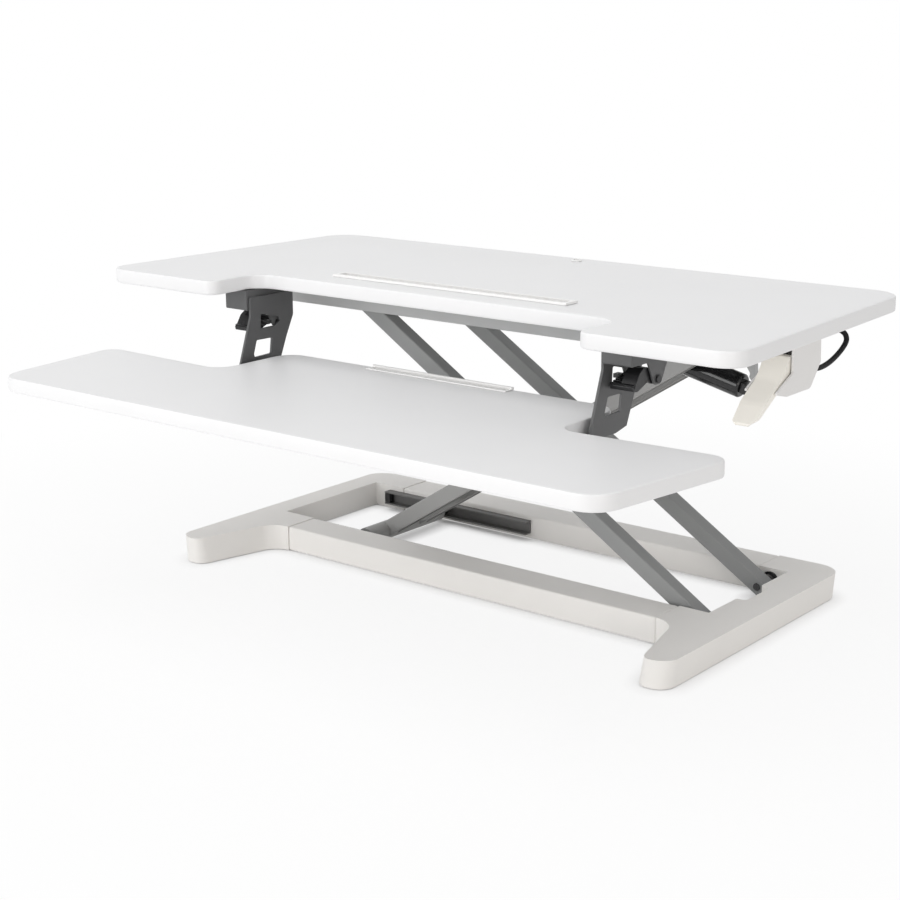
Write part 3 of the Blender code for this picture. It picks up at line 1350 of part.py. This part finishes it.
def make_strut_clevis():
    """The fork at the cylinder's end. Its bore is wide, because the crank pin runs loose in it."""
    pin = (STRUT_LENGTH, 0.0)
    y = (-CLEVIS_Y[1], CLEVIS_Y[1])
    z = (-CLEVIS_HALF_Z, CLEVIS_HALF_Z)
    clevis = cylinder("strut_clevis", "Y", pin, y, CLEVIS_RADIUS, STRUT_BODY, BLACK_PLASTIC, sides=24)
    bridge = box("clevis_bridge", (CYLINDER_END + GAP, STRUT_LENGTH), y, z, STRUT_BODY)
    fork_x = (CLEVIS_BRIDGE_END, STRUT_LENGTH + CLEVIS_RADIUS + OVERCUT)
    fork_z = (-CLEVIS_RADIUS - OVERCUT, CLEVIS_RADIUS + OVERCUT)
    fork = box("clevis_fork", fork_x, (-CLEVIS_Y[0], CLEVIS_Y[0]), fork_z, STRUT_BODY)
    bore = cylinder("clevis_bore", "Y", pin, (-0.02, 0.02), STRUT_PIN_RADIUS + CRANK_PLAY, STRUT_BODY, sides=24)
    return cut(join(clevis, bridge), fork, bore)


# --- Assembly --------------------------------------------------------------------------------------------------------------------
STRUT_BODY = Frame("strut_slide", (STRUT_PIN[0], LIFT_Y, STRUT_PIN[1]), STRUT_SLOPE, True)

make_worktop()
make_slot("device_slot", SLOT_HALF, SLOT_Y, WORKTOP_Z[1], SLOT_DEPTH, (RIM_HEIGHT, 0.0055), (RIM_HEIGHT, 0.0055))
make_grommet()
make_tray()
make_slot(
    "tray_slot", TRAY_SLOT_HALF, TRAY_SLOT_Y, TRAY_Z[1], TRAY_SLOT_DEPTH, (0.0012, 0.0052), (TRAY_LIP_HEIGHT, 0.0042)
)
for side in (-1, 1):
    make_foot(side)
make_bar("base_bar_front", FRONT_BAR)
make_bar("base_bar_rear", REAR_BAR)
make_pads()
make_low_track("lower_track_front", FRONT_TRACK_Y, 1)
make_low_track("lower_track_rear", REAR_TRACK_Y, -1)
make_end_stop("end_stop_front", FRONT_TRACK_Y, 1)
make_end_stop("end_stop_rear", REAR_TRACK_Y, -1)
make_base_pin("base_pin_front", FRONT_BAR[1], ARM_Y["front"], 1)
make_base_pin("base_pin_rear", REAR_BAR[0], ARM_Y["rear"], -1)
make_outer_arm("outer_arm_front", -OUTER_ARM_Y)
make_outer_arm("outer_arm_rear", OUTER_ARM_Y)
make_outer_shafts()
make_inner_rail("inner_rail_front", -INNER_RAIL_Y)
make_inner_rail("inner_rail_rear", INNER_RAIL_Y)
make_inner_straps()
make_foot_tube()
make_crank()
make_rollers()
make_top_rail("top_rail_front", -1)
make_top_rail("top_rail_rear", 1)
for cross_name, cross_x in CROSS_MEMBERS.items():
    make_cross_member(f"top_cross_{cross_name}", cross_x)
make_strut_bracket()
make_top_shaft()
for side, label in ((-1, "left"), (1, "right")):
    make_hanger(side, label)
    make_socket(side, label)
    make_lever_pin(side, label)
    make_quick_lever(side, label)
make_handle_housing()
make_handle_pin()
make_handle_lever()
make_handle_spring()
make_cable()
make_cable_clip()
make_strut_rod()
make_release_head()
make_release_rocker()
make_strut_cylinder()
make_strut_clevis()
bpy.context.view_layer.update()
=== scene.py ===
"""Looks of the standing desk converter: finishes, fine shapes, light and camera.

Lengths are in metres, in the CAD model's frame: X to the user's right, -Y towards the user.
"""

import json
import math

import bmesh
import bpy
from mathutils import Matrix, Vector


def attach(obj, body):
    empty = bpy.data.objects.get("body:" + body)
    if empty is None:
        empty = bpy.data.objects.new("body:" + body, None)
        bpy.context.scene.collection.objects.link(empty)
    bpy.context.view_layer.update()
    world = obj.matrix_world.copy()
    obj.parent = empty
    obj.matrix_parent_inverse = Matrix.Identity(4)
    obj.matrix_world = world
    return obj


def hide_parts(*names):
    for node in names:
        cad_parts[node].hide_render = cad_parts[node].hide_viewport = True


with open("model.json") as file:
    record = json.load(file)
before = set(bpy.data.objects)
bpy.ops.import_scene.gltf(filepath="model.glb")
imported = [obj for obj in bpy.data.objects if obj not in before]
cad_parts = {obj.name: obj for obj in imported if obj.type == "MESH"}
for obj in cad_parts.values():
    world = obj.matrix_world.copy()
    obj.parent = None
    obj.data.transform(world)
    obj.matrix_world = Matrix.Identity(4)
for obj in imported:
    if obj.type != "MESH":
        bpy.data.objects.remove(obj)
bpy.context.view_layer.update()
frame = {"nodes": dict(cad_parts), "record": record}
NODES = frame["nodes"]
BODIES = frame["record"]["behaviour"]["bodies"]
BODY_OF = {node: body for body, names in BODIES.items() for node in names}


# --- Materials -------------------------------------------------------------------------------------
NOISE_MIDDLE = (0.3, 0.7)       # nearly all values of a noise lie between these
COLOUR_STOPS = (0.35, 0.65)     # where a ramp's two colours stand
DETAIL = 2.0                    # octaves of a fine noise
MOTTLE = (9.0, 3.0)             # scale and octaves of the faint mottling
LINES_SCALE = 60.0
LINES_STRETCH = (1.0, 40.0, 40.0)
LINES_HEIGHT = 0.00002


class Finish:
    """A node material with helpers for procedural colour, roughness and bump."""

    def __init__(self, name, roughness, metallic=0.0, specular=0.5):
        self.material = bpy.data.materials.new(name)
        self.material.use_nodes = True
        self.tree = self.material.node_tree
        self.shader = self.tree.nodes["Principled BSDF"]
        self.shader.inputs["Roughness"].default_value = roughness
        self.shader.inputs["Metallic"].default_value = metallic
        self.shader.inputs["Specular IOR Level"].default_value = specular
        self.where = self.tree.nodes.new("ShaderNodeTexCoord").outputs["Object"]

    def link(self, output, socket):
        self.tree.links.new(output, socket)

    def noise(self, scale, detail=DETAIL, stretch=None):
        """A noise value over the surface, `scale` features a metre, stretched along an axis."""
        where = self.where
        if stretch:
            mapping = self.tree.nodes.new("ShaderNodeMapping")
            mapping.inputs["Scale"].default_value = stretch
            self.link(where, mapping.inputs["Vector"])
            where = mapping.outputs["Vector"]
        texture = self.tree.nodes.new("ShaderNodeTexNoise")
        texture.inputs["Scale"].default_value = scale
        texture.inputs["Detail"].default_value = detail
        self.link(where, texture.inputs["Vector"])
        return texture.outputs["Fac"]

    def spread(self, value, low, high):
        """The middle of a noise's range mapped to low..high."""
        ranged = self.tree.nodes.new("ShaderNodeMapRange")
        ranged.inputs["From Min"].default_value = NOISE_MIDDLE[0]
        ranged.inputs["From Max"].default_value = NOISE_MIDDLE[1]
        ranged.inputs["To Min"].default_value = low
        ranged.inputs["To Max"].default_value = high
        self.link(value, ranged.inputs["Value"])
        return ranged.outputs["Result"]

    def colours(self, value, first, second):
        ramp = self.tree.nodes.new("ShaderNodeValToRGB")
        for stop, place, colour in zip(ramp.color_ramp.elements, COLOUR_STOPS, (first, second)):
            stop.position = place
            stop.color = (*colour, 1.0)
        self.link(value, ramp.inputs["Fac"])
        self.link(ramp.outputs["Color"], self.shader.inputs["Base Color"])

    def bump(self, value, height):
        bump = self.tree.nodes.new("ShaderNodeBump")
        bump.inputs["Strength"].default_value = 1.0
        bump.inputs["Distance"].default_value = height
        self.link(value, bump.inputs["Height"])
        self.link(bump.outputs["Normal"], self.shader.inputs["Normal"])

    def rough(self, value, low, high):
        self.link(self.spread(value, low, high), self.shader.inputs["Roughness"])


def shade(colour, factor):
    return tuple(min(1.0, channel * factor) for channel in colour)


def textured(name, colour, roughness, grain, height, mottle, specular=0.5):
    """Paint, laminate or moulded plastic: `grain` features a metre, `height` metres deep."""
    finish = Finish(name, roughness, specular=specular)
    broad = finish.noise(*MOTTLE)
    fine = finish.noise(grain)
    finish.colours(broad, shade(colour, 1.0 - mottle), shade(colour, 1.0 + mottle))
    finish.rough(fine, roughness * 0.85, roughness * 1.15)
    finish.bump(fine, height)
    return finish.material


def metal(name, colour, roughness):
    """Plated steel with faint drawing lines."""
    finish = Finish(name, roughness, metallic=1.0)
    lines = finish.noise(LINES_SCALE, stretch=LINES_STRETCH)
    finish.colours(lines, shade(colour, 0.85), shade(colour, 1.1))
    finish.rough(lines, roughness * 0.75, roughness * 1.3)
    finish.bump(lines, LINES_HEIGHT)
    return finish.material


LAMINATE = textured("white_laminate", (0.82, 0.82, 0.825), 0.42, 900.0, 0.00003, 0.006)
WHITE_PLASTIC = textured("white_plastic", (0.90, 0.895, 0.885), 0.38, 1500.0, 0.00003, 0.01)
HOUSING_PLASTIC = textured("housing_plastic", (0.80, 0.79, 0.78), 0.45, 1500.0, 0.00004, 0.01)
IVORY = textured("ivory_plastic", (0.95, 0.92, 0.85), 0.40, 1500.0, 0.00003, 0.012)
CREAM = textured("cream_paint", (0.89, 0.87, 0.84), 0.48, 1300.0, 0.00005, 0.012)
ARM_GREY = textured("arm_grey", (0.32, 0.325, 0.325), 0.50, 1500.0, 0.00003, 0.03, specular=0.08)
SILVER = textured("silver_paint", (0.46, 0.465, 0.465), 0.40, 1500.0, 0.00003, 0.02, specular=0.3)
# Painted shade: the inner rails' silver paint is set darker, between the look of their lit upper parts and
# their shaded lower parts.
RAIL_GREY_PAINTED_SHADE = textured("rail_grey_painted_shade", (0.36, 0.36, 0.355), 0.40, 1500.0, 0.00003, 0.02, specular=0.3)
# Painted shade: the lower tracks' grey is set far darker than the rails' paint, to stand for the shade the
# tracks sit in.
TRACK_GREY_PAINTED_SHADE = textured("track_grey_painted_shade", (0.15, 0.148, 0.145), 0.42, 1500.0, 0.00003, 0.02, specular=0.3)
CHARCOAL = textured("charcoal_paint", (0.092, 0.093, 0.095), 0.46, 1800.0, 0.00006, 0.05)
BLACK = textured("black_plastic", (0.012, 0.012, 0.013), 0.36, 1600.0, 0.00005, 0.1)
BLACK_GLOSS = textured("black_gloss", (0.012, 0.012, 0.013), 0.14, 400.0, 0.00001, 0.1)
CABLE_BLACK = textured("cable_black", (0.010, 0.010, 0.011), 0.5, 1600.0, 0.00003, 0.1, specular=0.15)
ZINC_BLACK = metal("black_zinc", (0.09, 0.09, 0.095), 0.30)
RUBBER = textured("black_rubber", (0.015, 0.015, 0.015), 0.8, 1200.0, 0.00008, 0.1)
ZINC = metal("zinc_steel", (0.60, 0.60, 0.61), 0.32)

FINISHES = {
    LAMINATE: ("worktop", "keyboard_tray"),
    WHITE_PLASTIC: ("device_slot", "tray_slot", "cable_grommet"),
    HOUSING_PLASTIC: ("handle_housing",),
    IVORY: ("handle_lever",),
    CREAM: ("foot_left", "foot_right", "base_bar_front", "base_bar_rear"),
    ARM_GREY: ("outer_arm_front", "outer_arm_rear", "outer_cross_tube"),
    # The inner rails take the silver darkened with painted shade.
    RAIL_GREY_PAINTED_SHADE: (
        "inner_rail_front", "inner_rail_rear", "inner_strap_lower", "inner_strap_upper", "inner_foot_tube",
    ),
    # The lower tracks take the grey darkened with painted shade.
    TRACK_GREY_PAINTED_SHADE: ("lower_track_front", "lower_track_rear"),
    SILVER: (
        "strut_crank", "top_rail_front", "top_rail_rear", "top_cross_left", "top_cross_middle",
        "top_cross_right", "strut_bracket", "release_rocker",
    ),
    CHARCOAL: ("hanger_left", "hanger_right", "socket_left", "socket_right"),
    BLACK: (
        "end_stop_front", "end_stop_rear", "quick_lever_left", "quick_lever_right",
        "cable_clip", "release_head", "strut_clevis", "upper_roller_front", "upper_roller_rear",
        "lower_roller_front", "lower_roller_rear", "lever_pin_left", "lever_pin_right",
    ),
    BLACK_GLOSS: ("strut_cylinder", "base_pin_front", "base_pin_rear"),
    CABLE_BLACK: ("release_cable",),
    RUBBER: (
        "rubber_pad_left_front", "rubber_pad_left_rear", "rubber_pad_right_front", "rubber_pad_right_rear",
    ),
    ZINC: (
        "upper_roller_shaft", "middle_shaft", "top_pivot_shaft",
        "handle_pin", "handle_spring", "strut_rod",
    ),
}
FINISH_OF = {name: surface for surface, names in FINISHES.items() for name in names}


# --- Fine pieces that stand for the CAD nodes ------------------------------------------------------
# How wide the sharp edges of the nodes are rounded. A node that isn't listed keeps its CAD edges.
EDGES = {
    0.0002: ("strut_rod",),
    0.0003: (
        "cable_grommet", "strut_bracket", "release_rocker", "top_rail_front", "top_rail_rear",
        "lower_track_front", "lower_track_rear", "outer_cross_tube", "upper_roller_shaft", "handle_pin",
    ),
    0.0004: (
        "device_slot", "tray_slot", "end_stop_front", "end_stop_rear", "quick_lever_left",
        "quick_lever_right", "top_cross_left", "top_cross_middle", "top_cross_right",
        "inner_strap_lower", "inner_strap_upper", "inner_foot_tube", "base_pin_front", "base_pin_rear",
        "lever_pin_left", "lever_pin_right", "rubber_pad_left_front", "rubber_pad_left_rear",
        "rubber_pad_right_front", "rubber_pad_right_rear",
    ),
    0.0005: (
        "strut_crank", "cable_clip", "hanger_left", "hanger_right", "socket_left", "socket_right",
        "top_pivot_shaft",
    ),
    0.0006: ("strut_clevis", "release_head", "middle_shaft", "strut_cylinder"),
    0.0008: ("handle_lever",),
    0.0009: ("handle_housing",),
}
EDGE_OF = {name: width for width, names in EDGES.items() for name in names}
SHARP = math.radians(33)            # edges at least this sharp are rounded and stay sharp in the shading
FLAT = math.radians(0.4)            # facets that lie flatter than this become one face
WELD = 0.000004
BEVEL_STEPS = 3
FLAT_FACE_WEIGHT = 100              # how far the large flat faces rule the shading of their edges

CABLE_RADIUS = 0.0029
CABLE_STEPS = 8                     # smooth steps between two points of the route
CABLE_ROUNDNESS = 5
CABLE_ROUTE = (
    (0.4210, 0.0520, 0.3205),
    (0.4210, 0.0700, 0.3205),
    (0.4210, 0.0880, 0.3205),
    (0.4225, 0.1080, 0.3188),
    (0.4230, 0.1270, 0.3210),
    (0.4230, 0.1460, 0.3265),
    (0.4230, 0.1605, 0.3335),
    (0.4228, 0.1668, 0.3400),
    (0.4205, 0.1660, 0.3466),
    (0.4155, 0.1615, 0.3506),
    (0.4070, 0.1565, 0.3520),
    (0.3960, 0.1525, 0.3520),
    (0.3840, 0.1497, 0.3515),
    (0.3730, 0.1480, 0.3510),
    (0.3500, 0.1410, 0.3505),
    (0.3300, 0.1300, 0.3465),
    (0.3080, 0.1150, 0.3425),
    (0.2800, 0.1110, 0.3420),
    (0.2440, 0.1110, 0.3420),
    (0.2150, 0.1150, 0.3415),
    (0.1900, 0.1300, 0.3400),
    (0.1680, 0.1480, 0.3385),
    (0.1500, 0.1600, 0.3375),
    (0.1345, 0.1625, 0.3370),
)

SCREW_RADIUS = 0.0042
SCREW_HEIGHT = SCREW_RADIUS * 0.55
SCREW_SIDES = 36
# The outline of a screw's head: share of its radius, share of its height, and a step up in metres.
SCREW_OUTLINE = (
    (0.90, 0.00, -0.0002),
    (1.00, 0.00, 0.0001),
    (0.97, 0.45, 0.0),
    (0.80, 0.82, 0.0),
    (0.52, 1.00, 0.0),
    (0.50, 1.00, 0.0),
    (0.50, 0.20, 0.0),
)
SOCKET_RINGS = (5, 6)               # the rings of that outline that are six-sided
SCREW_X = 0.231                     # out from the middle, on both sides
SCREW_ROWS = (-0.066, -0.044)
HANGER_FOOT_LOW = 0.2502            # the underside of the hangers' feet


def paint(obj, surface):
    """Gives every material slot of an object one finish."""
    if not obj.material_slots:
        obj.data.materials.append(surface)
    for slot in obj.material_slots:
        slot.material = surface


def shown(obj, body, surface):
    """Puts a finished piece in the scene, on its body."""
    bpy.context.scene.collection.objects.link(obj)
    paint(obj, surface)
    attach(obj, body)


def stand_in(obj, node):
    """Shows a piece in the place of a CAD node."""
    shown(obj, BODY_OF[node], FINISH_OF[node])
    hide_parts(node)


def refined(node, edge):
    """The CAD node's shape with welded faces, rounded edges and smooth shading."""
    shape = bmesh.new()
    shape.from_mesh(NODES[node].data)
    bmesh.ops.remove_doubles(shape, verts=shape.verts, dist=WELD)
    bmesh.ops.dissolve_limit(
        shape, angle_limit=FLAT, verts=shape.verts, edges=shape.edges, use_dissolve_boundaries=False
    )
    mesh = bpy.data.meshes.new(node + "_fine")
    shape.to_mesh(mesh)
    shape.free()
    mesh.shade_smooth()
    mesh.set_sharp_from_angle(angle=SHARP)
    obj = bpy.data.objects.new(node + "_fine", mesh)
    if edge:
        bevel = obj.modifiers.new("round_edges", "BEVEL")
        bevel.width = edge
        bevel.segments = BEVEL_STEPS
        bevel.limit_method = "ANGLE"
        bevel.angle_limit = SHARP
    flat = obj.modifiers.new("flat_faces", "WEIGHTED_NORMAL")
    flat.weight = FLAT_FACE_WEIGHT
    flat.keep_sharp = True
    stand_in(obj, node)


def smooth_route(route, steps):
    """Points of a Catmull-Rom curve, which runs through every point of the route."""
    knots = [Vector(point) for point in route]
    points = []
    for index in range(len(knots) - 1):
        before = knots[max(index - 1, 0)]
        start, end = knots[index], knots[index + 1]
        after = knots[min(index + 2, len(knots) - 1)]
        for step in range(steps):
            t = step / steps
            pull = (end - before) * t + (before * 2 - start * 5 + end * 4 - after) * t * t
            bend = (start * 3 - before - end * 3 + after) * t * t * t
            points.append(start + (pull + bend) / 2)
    points.append(knots[-1])
    return points


def make_cable():
    """The Bowden cable's sheath, round and smooth along the whole route."""
    curve = bpy.data.curves.new("cable_line", "CURVE")
    curve.dimensions = "3D"
    curve.bevel_depth = CABLE_RADIUS
    curve.bevel_resolution = CABLE_ROUNDNESS
    curve.use_fill_caps = True
    points = smooth_route(CABLE_ROUTE, CABLE_STEPS)
    spline = curve.splines.new("POLY")
    spline.points.add(len(points) - 1)
    for target, point in zip(spline.points, points):
        target.co = (*point, 1.0)
    line = bpy.data.objects.new("cable_line", curve)
    bpy.context.scene.collection.objects.link(line)
    bpy.context.view_layer.update()
    mesh = bpy.data.meshes.new_from_object(line.evaluated_get(bpy.context.evaluated_depsgraph_get()))
    bpy.data.objects.remove(line, do_unlink=True)
    mesh.shade_smooth()
    stand_in(bpy.data.objects.new("cable_sheath", mesh), "release_cable")


def screw_head(name, outline):
    """A head turned about Z from (radius, z) places, with a hexagon socket."""
    shape = bmesh.new()
    rings = []
    for number, (radius, z) in enumerate(outline):
        ring = []
        for side in range(SCREW_SIDES):
            angle = 2 * math.pi * side / SCREW_SIDES
            reach = radius
            if number in SOCKET_RINGS:
                reach *= math.cos(math.pi / 6) / math.cos(angle % (math.pi / 3) - math.pi / 6)
            ring.append(shape.verts.new((reach * math.cos(angle), reach * math.sin(angle), z)))
        rings.append(ring)
    for low, high in zip(rings, rings[1:]):
        for side in range(SCREW_SIDES):
            after = (side + 1) % SCREW_SIDES
            shape.faces.new((low[side], low[after], high[after], high[side]))
    shape.faces.new(rings[-1])
    shape.faces.new(list(reversed(rings[0])))
    bmesh.ops.recalc_face_normals(shape, faces=shape.faces)
    mesh = bpy.data.meshes.new(name)
    shape.to_mesh(mesh)
    shape.free()
    mesh.shade_smooth()
    mesh.set_sharp_from_angle(angle=SHARP)
    return bpy.data.objects.new(name, mesh)


def make_screws():
    """The screws under the tray's hanger feet, with their heads facing down."""
    outline = [
        (SCREW_RADIUS * reach, SCREW_HEIGHT * share + step) for reach, share, step in SCREW_OUTLINE
    ]
    for side, label in ((-1, "left"), (1, "right")):
        for number, y in enumerate(SCREW_ROWS):
            obj = screw_head(f"tray_screw_{label}_{number}", outline)
            obj.location = (side * SCREW_X, y, HANGER_FOOT_LOW)
            obj.rotation_euler = Vector((0.0, 0.0, -1.0)).to_track_quat("Z", "Y").to_euler()
            shown(obj, BODY_OF["hanger_left"], ZINC_BLACK)


for node in NODES:
    if node != "release_cable":
        refined(node, EDGE_OF.get(node, 0.0))
make_cable()
make_screws()


# --- Camera, light and floor -------------------------------------------------------------------
CAMERA_AT = Vector((1.2665, -1.5596, 0.7051))
CAMERA_AZIMUTH = math.radians(38.88)
CAMERA_DOWN = math.radians(14.36)
CAMERA_ROLL = math.radians(-0.335)
SENSOR_WIDTH = 36.0
LENS = 70.96
SHIFT = (0.0003, -0.0055)

LIGHTS_AIM = (0.0, 0.0, 0.2)
PLAIN_WHITE = (1.0, 1.0, 1.0)
WARM_WHITE = (1.0, 0.94, 0.88)
SOFT_STRENGTH = 0.55        # of the world's light on the object; seen directly, the world is white

FLOOR_HALF = 12.0
FLOOR_GREY = 0.94
FLOOR_ROUGHNESS = 0.9
FADE = (0.60, 1.10)         # the floor turns from shaded to plain white between these distances
WHITE_SHARE = 0.86          # how much of the floor's look is plain white next to the object
PAINTED_CONTACT_SHADE_REACH = 0.022       # how far the painted contact shade round the base reaches over the floor
PAINTED_CONTACT_SHADE_SAMPLES = 8


def make_camera():
    camera = bpy.data.cameras.new("camera")
    camera.sensor_width = SENSOR_WIDTH
    camera.lens = LENS
    camera.shift_x, camera.shift_y = SHIFT
    obj = bpy.data.objects.new("camera", camera)
    bpy.context.scene.collection.objects.link(obj)
    level = Vector((-math.sin(CAMERA_AZIMUTH), math.cos(CAMERA_AZIMUTH), 0.0))
    ahead = level * math.cos(CAMERA_DOWN) - Vector((0.0, 0.0, math.sin(CAMERA_DOWN)))
    right = Vector((math.cos(CAMERA_AZIMUTH), math.sin(CAMERA_AZIMUTH), 0.0))
    up = right.cross(ahead)
    side = right * math.cos(CAMERA_ROLL) + up * math.sin(CAMERA_ROLL)
    top = up * math.cos(CAMERA_ROLL) - right * math.sin(CAMERA_ROLL)
    turn = Matrix((side, top, -ahead)).transposed().to_4x4()
    obj.matrix_world = Matrix.Translation(CAMERA_AT) @ turn
    bpy.context.scene.camera = obj


def make_light(name, at, size, power, colour=PLAIN_WHITE):
    light = bpy.data.lights.new(name, "AREA")
    light.color = colour
    light.shape = "RECTANGLE"
    light.size, light.size_y = size
    light.energy = power
    obj = bpy.data.objects.new(name, light)
    obj.location = at
    obj.rotation_euler = (Vector(LIGHTS_AIM) - Vector(at)).to_track_quat("-Z", "Y").to_euler()
    bpy.context.scene.collection.objects.link(obj)


def seen_directly(tree):
    """A factor that is 1 for camera, mirror and glass rays."""
    path = tree.nodes.new("ShaderNodeLightPath")
    total = path.outputs["Is Camera Ray"]
    for other in ("Is Glossy Ray", "Is Transmission Ray"):
        adder = tree.nodes.new("ShaderNodeMath")
        adder.operation = "MAXIMUM"
        tree.links.new(total, adder.inputs[0])
        tree.links.new(path.outputs[other], adder.inputs[1])
        total = adder.outputs["Value"]
    return total


def make_world():
    world = bpy.data.worlds.new("studio")
    world.use_nodes = True
    bpy.context.scene.world = world
    tree = world.node_tree
    tree.nodes.clear()
    soft = tree.nodes.new("ShaderNodeBackground")
    soft.inputs["Color"].default_value = (*PLAIN_WHITE, 1.0)
    soft.inputs["Strength"].default_value = SOFT_STRENGTH
    white = tree.nodes.new("ShaderNodeBackground")
    white.inputs["Color"].default_value = (*PLAIN_WHITE, 1.0)
    white.inputs["Strength"].default_value = 1.0
    mix = tree.nodes.new("ShaderNodeMixShader")
    out = tree.nodes.new("ShaderNodeOutputWorld")
    tree.links.new(seen_directly(tree), mix.inputs["Fac"])
    tree.links.new(soft.outputs["Background"], mix.inputs[1])
    tree.links.new(white.outputs["Background"], mix.inputs[2])
    tree.links.new(mix.outputs["Shader"], out.inputs["Surface"])


def make_floor():
    """A white floor that keeps the object's shadow close to it and fades into the white background, with a
    painted contact shade round the base.
    """
    mesh = bpy.data.meshes.new("floor")
    shape = bmesh.new()
    bmesh.ops.create_grid(shape, x_segments=1, y_segments=1, size=FLOOR_HALF)
    shape.to_mesh(mesh)
    shape.free()
    floor = bpy.data.objects.new("floor", mesh)
    bpy.context.scene.collection.objects.link(floor)
    finish = Finish("floor_white", FLOOR_ROUGHNESS)
    nodes = finish.tree.nodes
    finish.shader.inputs["Base Color"].default_value = (FLOOR_GREY, FLOOR_GREY, FLOOR_GREY, 1.0)
    away = nodes.new("ShaderNodeVectorMath")
    away.operation = "LENGTH"
    finish.link(finish.where, away.inputs[0])
    fade = nodes.new("ShaderNodeMapRange")
    fade.interpolation_type = "SMOOTHSTEP"
    fade.inputs["From Min"].default_value = FADE[0]
    fade.inputs["From Max"].default_value = FADE[1]
    fade.inputs["To Min"].default_value = WHITE_SHARE
    fade.inputs["To Max"].default_value = 1.0
    finish.link(away.outputs["Value"], fade.inputs["Value"])
    # Painted contact shade: an occlusion mask lowers the floor's white glow next to the base, so a dark
    # line of shade shows there.
    painted_contact_shade = nodes.new("ShaderNodeAmbientOcclusion")
    painted_contact_shade.samples = PAINTED_CONTACT_SHADE_SAMPLES
    painted_contact_shade.inputs["Distance"].default_value = PAINTED_CONTACT_SHADE_REACH
    share = fade.outputs["Result"]
    for factor in (painted_contact_shade.outputs["AO"], seen_directly(finish.tree)):
        product = nodes.new("ShaderNodeMath")
        product.operation = "MULTIPLY"
        finish.link(share, product.inputs[0])
        finish.link(factor, product.inputs[1])
        share = product.outputs["Value"]
    glow = nodes.new("ShaderNodeEmission")
    mix = nodes.new("ShaderNodeMixShader")
    finish.link(share, mix.inputs["Fac"])
    finish.link(finish.shader.outputs["BSDF"], mix.inputs[1])
    finish.link(glow.outputs["Emission"], mix.inputs[2])
    finish.link(mix.outputs["Shader"], nodes["Material Output"].inputs["Surface"])
    floor.data.materials.append(finish.material)


make_camera()
make_world()
make_floor()
make_light("front", at=(-0.9, -3.0, 0.7), size=(2.6, 1.2), power=30.0)
make_light("top", at=(-0.2, -1.0, 2.9), size=(3.2, 3.2), power=38.0)
make_light("right", at=(2.8, -1.5, 0.5), size=(1.4, 0.8), power=12.0, colour=WARM_WHITE)
bpy.context.scene.view_settings.view_transform = "Standard"
